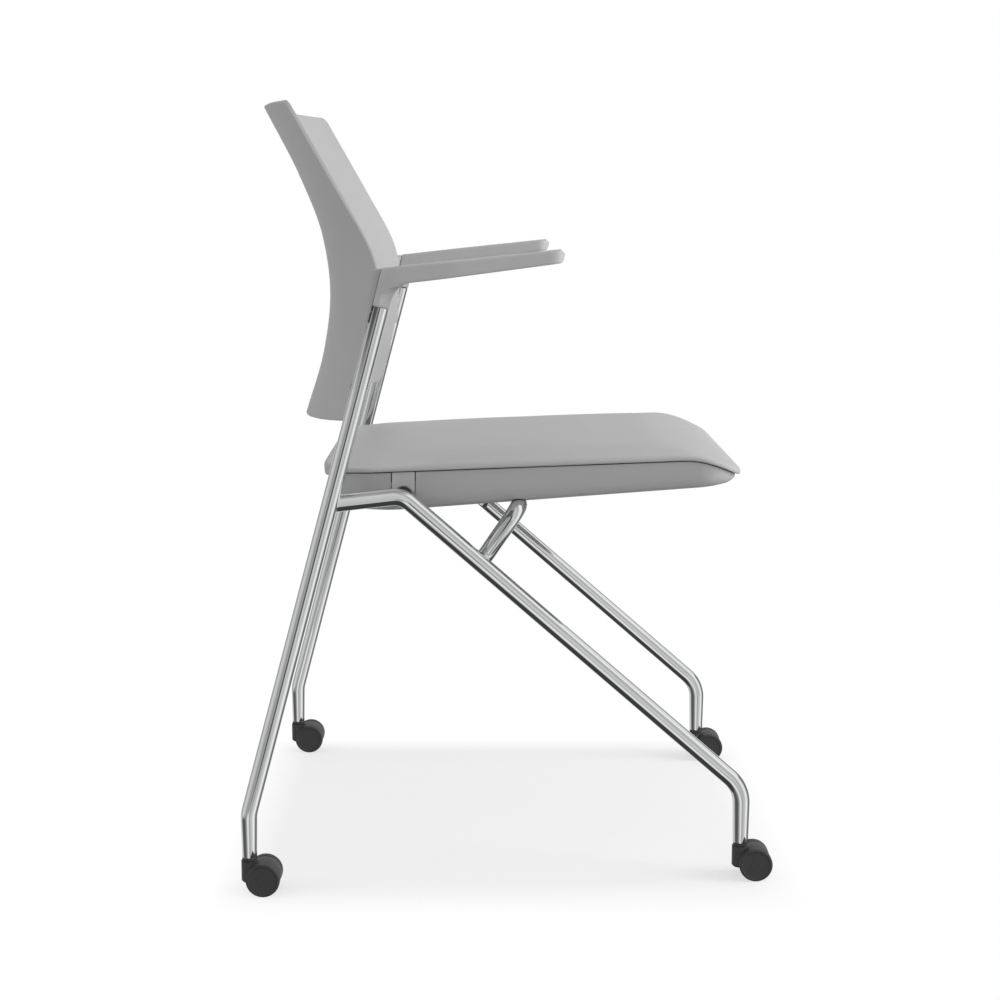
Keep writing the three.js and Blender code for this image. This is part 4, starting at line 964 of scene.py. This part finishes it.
def arm(side, sign):
    """The arm, whose neck is round in front and hollows out towards the underside, so that its side face
    overhangs. The neck's lengths and hollow change with the number of the section"""
    rings = []
    for i, (under, over, drawn) in enumerate(arm_sections(sign)):
        length = (over - under).length
        way = (over - under) / length
        low, high = arm_sides(under.x, under.y)[0], arm_sides(over.x, over.y)[1]
        edge = 11.3 - 9.1 * smoothstep(i, 7, 16)
        depth = min(edge, 7.0 - 1.5 * smoothstep(i, 2, 8))
        hollow = (0.9 + 0.5 * smoothstep(i, 0, 8)) * (1 - smoothstep(i, 14, 19))

        def place(a, b):
            spot = under + way * a
            inner, outer = arm_sides(spot.x, spot.y)
            share = (b - low) / (high - low)
            y = inner + drawn + (outer - inner - 2 * drawn) * share
            return Vector((spot.x, sign * y, spot.y))

        rear = 1.2 + smoothstep(i, 12, 20)
        rings.append(boxed_ring(0, length, low, high, rear, place, (8, 4), (edge, depth), hollow))
    dress(mesh_object(f"arm_pad_{side}", *skin(rings), 38), "frame", ARM_GREY, f"arm_{side}")


# Seat

# A taper or overhang is given for the side, rear and front, and a fall as a drop and a length
PAN_BELLY_DROP = 17.3
PAN_BELLY_SLOPE = 0.0735
PAN_TAPER = (13, 42, 14)
PAN_WALL = 3.0
PAN_CORNER = 45
PAN_REAR_CORNER = 60
SEAM_RISE = 26.4
SEAM_SLOPE = 0.0375
REAR_FALL = (7, 35)
FRONT_FALL = (21, 58.5)
GROOVE_RADIUS = 10.5
REST_START = 135
REST_LENGTH = 30
REST_RADII = (9.8, 11.7)
POCKET_RADIUS = 12
STUD_HOLE_ACROSS = (190, 230)
STUD_HOLE_RADIUS = 7.8
NOTCH_ACROSS = (217.7, 225)
NOTCH_HALF = 13.8
NOTCH_UP = (-11, 60)


def belly(x):
    return PIVOT[1] - PAN_BELLY_DROP + PAN_BELLY_SLOPE * (x - PIVOT[0])


def rear_fall(x):
    drop, length = REAR_FALL
    return drop * max(0, (PAN_REAR + length - x) / length) ** 2


def front_fall(x):
    drop, length = FRONT_FALL
    return drop * max(0, (x - PAN_FRONT + length) / length) ** 1.7


def seam(x):
    return PIVOT[1] + SEAM_RISE + SEAM_SLOPE * (x - PIVOT[0]) - front_fall(x) - rear_fall(x)


SEAT_LINES_S = unit_lines([2, 3, 4, 5, 6, 7, 8, 9], (PAN_FRONT - PAN_REAR) / 2)
SEAT_LINES_T = unit_lines([2, 3, 4, 5, 6, 7, 8, 9], PAN_HALF)


def seat_place(s, t, inset, rear_inset, front_inset):
    """A place in the seat's plan at insets from its side, rear and front"""
    corner, rear_corner = max(PAN_CORNER - inset, 15), max(PAN_REAR_CORNER - inset, 20)
    low, high = PAN_REAR + rear_inset, PAN_FRONT - front_inset
    return rounded(s, t, low, high, PAN_HALF - inset, rear_corner, corner)


wall_inset = monotone([(0, 0), (1, 0.02), (2, 0.06), (3, 0.14), (4, 0.3), (5, 0.55), (6, 1)])
wall_depth = monotone([(0, 0), (1, 0.2), (2, 0.42), (3, 0.62), (4, 0.8), (5, 0.93), (6, 1)])


def pan_point(s, t, share):
    """A place on the pan's wall: share runs from 0 at the seam to 6 at the underside"""
    inset = wall_inset(share)
    x, y, _, _ = seat_place(s, t, *(taper * inset for taper in PAN_TAPER))
    return Vector((x, y, seam(x) + (belly(x) - seam(x)) * wall_depth(share)))


def pan_inside(s, t, inset, drop):
    x, y, _, _ = seat_place(s, t, inset, inset, inset)
    return Vector((x, y, seam(x) - min(drop, (seam(x) - belly(x)) / 2)))


def block(name, low, high):
    (x0, y0, z0), (x1, y1, z1) = low, high
    ring = [(x0, y0), (x1, y0), (x1, y1), (x0, y1)]
    return mesh_object(name, *skin([[Vector((x, y, z)) for x, y in ring] for z in (z0, z1)]))


def bar(name, centre, start, end, radius):
    """A round bar across the part"""
    x, z = centre
    start, axis = Vector((x, start, z)), Vector((0, end - start, 0))
    return mesh_object(name, *turned([(radius, 0), (radius, axis.length)], start, axis))


def seat_pan():
    """The pan, cut for the crossbar and its rests, and for the studs and covers of the pivots"""
    edges = [(0.05, 0.75), (0.4, 0.4), (2.6, 0.4), (PAN_WALL, 0.8)]
    rings = [lambda s, t, k=k: pan_point(s, t, k / 4) for k in range(23, 1, -1)]
    rings += [lambda s, t, e=e: pan_inside(s, t, *e) for e in edges]
    under = lambda s, t: pan_point(s, t, 6)
    floor_inside = lambda s, t: pan_inside(s, t, PAN_WALL, 10.8)
    obj = mesh_object("pan_moulding", *grid_body(SEAT_LINES_S, SEAT_LINES_T, under, rings, floor_inside))
    places, headings = crossbar_route()
    groove = [circle(p, axes, GROOVE_RADIUS, 48) for p, axes in zip(places, frames(headings))]
    tools = [mesh_object("groove", *skin(groove))]
    pocket = (REST_START - GAP, REST_START + REST_LENGTH + GAP)
    x, z = PIVOT
    for _, sign in SIDES:
        tools.append(bar("pocket", CROSSBAR, *(sign * y for y in pocket), POCKET_RADIUS))
        tools.append(bar("hole", PIVOT, *(sign * y for y in STUD_HOLE_ACROSS), STUD_HOLE_RADIUS))
        low, high = sorted(sign * y for y in NOTCH_ACROSS)
        low, high = (x - NOTCH_HALF, low, z + NOTCH_UP[0]), (x + NOTCH_HALF, high, z + NOTCH_UP[1])
        tools.append(block("notch", low, high))
    combine(obj, tools, "DIFFERENCE")
    clean(obj, 30)
    dress(obj, "seat", PAN_GREY, "seat_pan")


# The cushion: height over the seam by distance from its edge, with a crown that the simulation fills
CUSHION_RIM = 5.3
CUSHION_CROWN = 17.0
CUSHION_OVERHANG = (3, 5, 6)
crown_share = monotone([
    (0, 0), (3.6, 0.162), (10.2, 0.234), (27.9, 0.419), (65, 0.667), (120.8, 0.897), (187, 1.0), (260, 1.0),
])
SWELL = 2.0


def cushion_place(s, t, inset):
    return seat_place(s, t, *(inset - over for over in CUSHION_OVERHANG))


def cushion_ring(inset, height, rear_share, front_share):
    def point(s, t):
        x, y, _, _ = cushion_place(s, t, inset)
        return Vector((x, y, seam(x) + height + rear_share * rear_fall(x) + front_share * front_fall(x)))
    return point


def from_corner(end, side, radius):
    """The distances from the end and side, turned so that no line is left along a corner's diagonal"""
    if end >= radius or side >= radius:
        return end, side
    reach, lesser = max(radius - end, radius - side), min(radius - end, radius - side)
    m = lesser / reach if reach else 0.0
    lesser = reach * (0.785 * m + 1.43 * m ** 2 - 1.215 * m ** 3)
    return (radius - reach, radius - lesser) if end < side else (radius - lesser, radius - reach)


def cushion_top(s, t):
    x, y, end, side = cushion_place(s, t, 0.8)
    end, side = from_corner(end, side, PAN_REAR_CORNER if s < 0 else PAN_CORNER)
    crown = crown_share(end) * crown_share(side)
    slack = SWELL * smoothstep(end, 20, 140) * smoothstep(side, 20, 140)
    height = CUSHION_RIM + (CUSHION_CROWN - CUSHION_RIM) * crown - slack
    return Vector((x, y, seam(x) + height + 1.3 * rear_fall(x) + 0.14 * front_fall(x)))


def cushion():
    under = cushion_ring(11, 0.85, 0, 0)
    edge = [
        (7, 0.85, 0, 0), (4.4, 0.85, 0, 0), (2.8, 0.8, 0, 0), (1.6, 0.82, 0.15, 0.02), (0.8, 1.0, 0.3, 0.04),
        (0.35, 1.4, 0.5, 0.06), (0.1, 2.0, 0.8, 0.09), (0.0, 2.8, 1.1, 0.12), (0.08, 3.7, 1.2, 0.13),
        (0.35, 4.6, 1.26, 0.135),
    ]
    rings = [cushion_ring(*values) for values in edge]
    points, faces = grid_body(SEAT_LINES_S, SEAT_LINES_T, under, rings, cushion_top)
    obj = mesh_object("cushion_pad", points, faces, 60)
    swell(obj)
    modifier = obj.modifiers.new("smooth", "SUBSURF")
    modifier.levels = 1
    modifier.render_levels = 1
    apply_modifiers(obj)
    obj.data.shade_smooth()
    dress(obj, "seat", CLOTH, "seat_cushion")


def swell(obj):
    """Fills the pad: its top is blown out by cloth simulation, and no point moves further than the cap"""
    rest = [v.co.copy() for v in obj.data.vertices]
    group = obj.vertex_groups.new(name="held")
    for vertex in obj.data.vertices:
        x, y, z = (vertex.co.x - ORIGIN_X) / MM, vertex.co.y / MM, vertex.co.z / MM
        edge = min(x - PAN_REAR, PAN_FRONT - x, PAN_HALF - abs(y))
        held = 1.0 if z < seam(x) + 4 else 1 - smoothstep(edge, 4, 40)
        group.add([vertex.index], held, "REPLACE")
    cloth = obj.modifiers.new("cloth", "CLOTH")
    settings = cloth.settings
    settings.quality = 5
    settings.mass = 0.2
    settings.tension_stiffness = 12
    settings.compression_stiffness = 12
    settings.bending_stiffness = 0.8
    settings.use_pressure = True
    settings.uniform_pressure_force = 4
    settings.effector_weights.gravity = 0
    settings.vertex_group_mass = "held"
    cloth.point_cache.frame_end = 20
    scene = bpy.context.scene
    for number in range(1, cloth.point_cache.frame_end + 1):
        scene.frame_set(number)
    graph = bpy.context.evaluated_depsgraph_get()
    blown = [v.co.copy() for v in obj.evaluated_get(graph).data.vertices]
    obj.modifiers.clear()
    scene.frame_set(1)
    moves = [b - a for a, b in zip(rest, blown)]
    cap = SWELL * 1.25 * MM
    for vertex, start, move in zip(obj.data.vertices, rest, moves):
        vertex.co = start + move * min(1.0, cap / max(move.length, 1e-9))


# Casters and small turned pieces

WHEEL = 18.7
WHEEL_START = 11.4
CASTER_TRAIL = 15.8
HOOD_RADIUS = 18.4
HOOD_WIDTH = 22
HOOD_RIDE = 7.5
HOOD_FRONT = 10.5
TOWER_RADIUS = 9.4
TOWER_TOP = 36.3
SCREW_BELOW_TOP = 6.5
STUD_LENGTH = 38.5


def caster_feet():
    for name, sign in SIDES:
        yield f"rear_{name}", Vector((0, sign * REAR_SPREAD / 2, 0)), REAR_BORE
        yield f"front_{name}", Vector((WHEELBASE, sign * FRONT_SPREAD / 2, 0)), FRONT_BORE


def wheel(corner, foot, side, outward):
    """A wheel with two fine grooves in its tread, a rounded shoulder and a dished face with a hub cap"""
    groove = WHEEL - 0.35
    profile = [
        (3.4, 0), (17.9, 0), (WHEEL, 0.6), (WHEEL, 2.6), (groove, 2.8), (groove, 3.1), (WHEEL, 3.3),
        (WHEEL, 5.2), (groove, 5.4), (groove, 5.7), (WHEEL, 5.9), (WHEEL, 7.6), (17.3, 9), (15.9, 9),
        (15.3, 8.3), (6.2, 8.25), (5.9, 8.4), (0.06, 8.5), (0.06, 7), (3.4, 7),
    ]
    base = Vector((foot.x + CASTER_TRAIL, foot.y + outward * WHEEL_START, WHEEL))
    shape = turned(eased(profile, 0.5, closed=True), base, (0, outward, 0), 72, closed=True)
    obj = mesh_object(f"wheel_{corner}_{side}", *shape, 50)
    dress(obj, f"wheel_{corner}_{side}", TREAD, f"caster_wheel_{corner}_{side}")


def hood(corner, foot):
    """A round hood over the axle, cut off above the floor and before the stem's tower"""
    x, y, _ = foot
    axle = Vector((x + CASTER_TRAIL, y - HOOD_WIDTH / 2, WHEEL))
    cheek = eased([(0.5, 0), (HOOD_RADIUS, 0), (HOOD_RADIUS, HOOD_WIDTH), (0.5, HOOD_WIDTH)], 0.7)
    obj = mesh_object(f"hood_{corner}", *turned(cheek, axle, (0, 1, 0), 72))
    low = block("low", (x - 40, y - 20, -10), (x + 60, y + 20, HOOD_RIDE))
    step = block("step", (x - 40, y - 20, TOWER_TOP), (x + HOOD_FRONT, y + 20, 60))
    combine(obj, [low, step], "DIFFERENCE")
    tower = [(0.5, 12), (TOWER_RADIUS - 2, 12), (TOWER_RADIUS, 14), (TOWER_RADIUS, TOWER_TOP)]
    tower.append((0.5, TOWER_TOP))
    combine(obj, [mesh_object("tower", *turned(tower, foot, (0, 0, 1), 64))], "UNION")
    clean(obj)
    bevel(obj, 0.45)
    dress(obj, f"caster_{corner}", DARK, f"caster_hood_{corner}")


def insert(corner, foot, bore):
    body = bore - GAP
    profile = [(4.3, -3.6), (body + 1, -3.6), (body + 1, -0.3), (body, -0.3), (body, 34), (4.3, 34)]
    base = foot + Vector((0, 0, CASTER_HEIGHT))
    shape = turned(eased(profile, 0.35, closed=True), base, (0, 0, 1), 48, closed=True)
    dress(mesh_object(f"insert_{corner}", *shape, 50), "frame", DARK, f"caster_insert_{corner}")


def back_screw(side, sign):
    """A countersunk screw with a hexagon socket, square to the leg"""
    heading = rear_heading(sign)
    forward = Vector((heading.z, 0, -heading.x)).normalized()
    seat = rear_top(sign) - heading * SCREW_BELOW_TOP
    start = seat - forward * (REAR_TUBE + GAP + rib_width(seat.z) * forward.x)
    axes = axes_across(forward)
    profile = [(2, 17), (2, 1.9), (3.7, 0.25), (3.75, 0.08), (3.6, 0)]
    rings = [circle(start + forward * height, axes, radius, 48) for radius, height in profile]
    for depth, radius in ((0, 1.72), (0.12, 1.6), (1.3, 1.6)):
        ring = []
        for i, point in enumerate(circle(start, axes, 1.0, 48)):
            reach = radius * math.cos(math.pi / 6) / math.cos((i / 8 % 1 - 0.5) * math.pi / 3)
            ring.append(start + forward * depth + (point - start) * reach)
        rings.append(ring)
    dress(mesh_object(f"screw_{side}", *skin(rings), 40), "frame", ZINC, f"back_screw_{side}")


def pivot_stud(side, sign):
    outer = FRONT_SPREAD / 2 - FRONT_TUBE - GAP
    low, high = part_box(f"pivot_stud_{side}")
    length = min(STUD_LENGTH, (high.y - low.y) / MM)
    profile = eased([(0.5, 0), (8, 0), (8, 6), (5, 6), (5, length), (0.5, length)], 0.5)
    base = Vector((PIVOT[0], sign * outer, PIVOT[1]))
    obj = mesh_object(f"stud_{side}", *turned(profile, base, (0, -sign, 0)), 50)
    dress(obj, "frame", DARK, f"pivot_stud_{side}")


def crossbar_rest(side, sign):
    """A half sleeve of rubber over the crossbar"""
    x, z = CROSSBAR
    inner, outer = REST_RADII
    ends = [(0, 0.5), (0.15, 0.15), (0.5, 0)]
    stations = ends + [(REST_LENGTH * k / 10, 0) for k in range(1, 10)]
    stations += [(REST_LENGTH - along, shrink) for along, shrink in reversed(ends)]
    turns = [math.pi * k / 24 for k in range(25)]
    rings = []
    for along, shrink in stations:
        y = sign * (REST_START + along)
        around = [(outer - shrink, turn) for turn in turns]
        around += [(inner + shrink * 0.5, turn) for turn in reversed(turns)]
        rings.append([Vector((x + r * math.cos(turn), y, z + r * math.sin(turn))) for r, turn in around])
    dress(mesh_object(f"rest_{side}", *skin(rings), 50), "frame", RUBBER, f"crossbar_rest_{side}")


for side, sign in SIDES:
    rear_leg(side, sign)
    front_leg(side, sign)
    strut_weld(side, sign)
    back_rib(side, sign)
    for level, drop in BOSS_DROPS:
        back_boss(side, sign, level, drop)
    arm(side, sign)
    back_screw(side, sign)
    pivot_stud(side, sign)
    crossbar_rest(side, sign)
crossbar()
back_shell()
seat_pan()
cushion()
for corner, foot, bore in caster_feet():
    hood(corner, foot)
    insert(corner, foot, bore)
    for side, sign in SIDES:
        wheel(corner, foot, side, sign)


# Camera, solved from the photograph: its place, its turns down and to the side, and its focal length as a
# share of the picture's width
CAMERA_PLACE = (0.2624, -2.3553, 0.7579)
CAMERA_PITCH = 0.1530
CAMERA_YAW = 0.0068
FOCAL_SHARE = 1.95
camera_data = bpy.data.cameras.new("camera")
camera_data.sensor_width = 36.0
camera_data.lens = camera_data.sensor_width * FOCAL_SHARE
camera = scene_object("camera", camera_data)
camera.location = Vector(CAMERA_PLACE) + Vector((ORIGIN_X, 0, 0))
camera.rotation_euler = (math.pi / 2 - CAMERA_PITCH, 0.0, -CAMERA_YAW)
bpy.context.scene.camera = camera


# Studio

WORLD_LIGHT = 0.48
FLOOR_HALF = 8
FLOOR_BOUNCE = 0.5
# The painted shadow: a patch under the chair, greyer than white even where no shadow falls, with the real
# shadow on it
SHADOW_COLOUR = 0.30
SHADOW_FILL = 0.618
SHADOW_EDGE = (0.27, 0.33)
SHADOW_FRONT = (-0.36, -0.27)
LAMP_SIZE = 1.6


def light_path(n, *kinds):
    """1 for rays of the given kinds"""
    path = n.new("ShaderNodeLightPath")
    total = path.outputs[f"Is {kinds[0]} Ray"]
    for kind in kinds[1:]:
        total = n.math("MAXIMUM", total, path.outputs[f"Is {kind} Ray"])
    return total


def floor():
    """A white floor with a soft-edged grey patch painted under the chair as its shadow, on which the chair's
    real shadow also shows. The world stands in for it in reflections"""
    n = Nodes(bpy.data.materials.new("floor"))
    x, y, _ = n.split(n.place())
    near_x = n.spread(n.math("ABSOLUTE", x), 1.0, 0.0, *SHADOW_EDGE)
    near_y = n.spread(y, 1.0, 0.0, *SHADOW_EDGE)
    near_front = n.spread(y, 0.0, 1.0, *SHADOW_FRONT)
    # Painted shadow patch: the soft-edged area where the floor turns grey
    shadow_patch_mask = n.math("MULTIPLY", n.math("MULTIPLY", near_x, near_y), near_front)
    white = n.new("ShaderNodeEmission")
    fill = n.new("ShaderNodeEmission")
    fill.inputs["Strength"].default_value = SHADOW_FILL
    lit = n.new("ShaderNodeBsdfDiffuse")
    lit.inputs["Color"].default_value = (*grey(SHADOW_COLOUR), 1.0)
    near = n.new("ShaderNodeAddShader")
    n.link(fill.outputs[0], near.inputs[0])
    n.link(lit.outputs[0], near.inputs[1])
    shown = n.blend(shadow_patch_mask, white.outputs[0], near.outputs[0])
    n.set(Base_Color=grey(FLOOR_BOUNCE), Roughness=0.9, Specular_IOR_Level=0.0)
    both = n.blend(light_path(n, "Camera", "Glossy", "Transmission"), n.shader.outputs[0], shown)
    n.link(both, n.tree.nodes["Material Output"].inputs["Surface"])
    corners = [(x * FLOOR_HALF, y * FLOOR_HALF, 0) for x, y in ((-1, -1), (1, -1), (1, 1), (-1, 1))]
    mesh = bpy.data.meshes.new("floor")
    mesh.from_pydata(corners, [], [(0, 1, 2, 3)])
    mesh.materials.append(n.owner)
    obj = scene_object("floor", mesh)
    obj.visible_glossy = False


# Painted reflections: the studio as metal shows it, white backdrop and floor broken by dark flags that
# stand nowhere in the scene, for glossy rays only. Levels by direction, in degrees from +Y towards +X,
# below the horizon, along it and above it
LOW_LEVELS = [
    (-180, 0.75), (-170, 0.88), (-160, 0.8), (-150, 0.35), (-138, 0.28), (-126, 0.1), (-92, 0.1),
    (-78, 0.25), (-66, 0.6), (-54, 0.75), (-42, 0.75), (-30, 0.4), (-20, 0.6), (18, 0.7), (28, 0.3),
    (45, 0.2), (66, 0.13), (78, 0.3), (90, 0.66), (101, 1.0), (114, 0.95), (126, 0.74), (140, 0.6),
    (152, 0.58), (164, 0.40), (174, 0.45), (180, 0.75),
]
MIDDLE_LEVELS = [
    (-180, 0.05), (-174, 0.06), (-165, 0.3), (-155, 0.43), (-141, 0.31), (-127, 0.5), (-111, 0.62),
    (-95, 0.72), (-73, 0.5), (-60, 0.45), (-35, 0.25), (-22, 1.0), (18, 1.0), (28, 0.3), (68, 0.14),
    (80, 0.3), (90, 0.8), (108, 1.0), (124, 0.72), (140, 0.45), (153, 0.6), (166, 0.70), (174, 0.5),
    (178, 0.1), (180, 0.05),
]
HIGH_LEVELS = [
    (-180, 0.35), (-165, 0.12), (-60, 0.05), (-30, 0.2), (-20, 0.6), (18, 0.6), (28, 0.12), (42, 0.36),
    (54, 0.7), (66, 0.85), (84, 0.72), (100, 1.0), (114, 1.0), (125, 0.6), (138, 0.42), (150, 0.65),
    (162, 0.7), (180, 0.35),
]
BANDS = [
    ((-45, -40), LOW_LEVELS), ((-16, -9), MIDDLE_LEVELS), ((21, 25), HIGH_LEVELS), ((52, 65), [(-180, 0.4)]),
]


def world():
    """Even light for the chair, white for the camera, and the studio's painted levels for reflections"""
    data = bpy.data.worlds.new("studio")
    bpy.context.scene.world = data
    n = Nodes(data, "Background")
    x, y, z = n.split(n.new("ShaderNodeTexCoord").outputs["Generated"])
    around = n.math("MULTIPLY_ADD", n.math("ARCTAN2", x, y), 1 / (2 * math.pi), 0.5)
    height = n.math("MULTIPLY", n.math("ARCSINE", z), 180 / math.pi)
    level = grey(0.05)
    for (low, high), levels in BANDS:
        ramp = n.new("ShaderNodeValToRGB")
        n.link(around, ramp.inputs[0])
        elements = ramp.color_ramp.elements
        elements.remove(elements[1])
        for i, (azimuth, value) in enumerate(levels):
            element = elements.new(azimuth / 360 + 0.5) if i else elements[0]
            element.position = azimuth / 360 + 0.5
            element.color = (*grey(value), 1.0)
        level = n.mix(n.spread(height, 0.0, 1.0, low, high), level, ramp.outputs[0])
    lit = n.mix(light_path(n, "Glossy"), grey(WORLD_LIGHT), level)
    n.link(n.mix(light_path(n, "Camera", "Transmission"), lit, grey(1.0)), n.shader.inputs["Color"])


def lamp(name, place, aim, power):
    """A square lamp that points at a height over the origin"""
    data = bpy.data.lights.new(name, "AREA")
    data.shape = "RECTANGLE"
    data.size = LAMP_SIZE
    data.size_y = LAMP_SIZE
    data.energy = power
    obj = scene_object(name, data)
    obj.location = place
    obj.rotation_euler = (Vector((0, 0, aim)) - Vector(place)).to_track_quat("-Z", "Y").to_euler()
    obj.visible_glossy = False


floor()
world()
lamp("key", (0.2, -0.3, 2.9), 0.4, 4)
lamp("front", (2.6, -0.4, 1.3), 0.5, 70)
lamp("near", (0.4, -3.2, 1.3), 0.5, 14)
lamp("rear", (-2.4, -0.8, 1.5), 0.5, 15)
bpy.context.scene.view_settings.view_transform = "Standard"
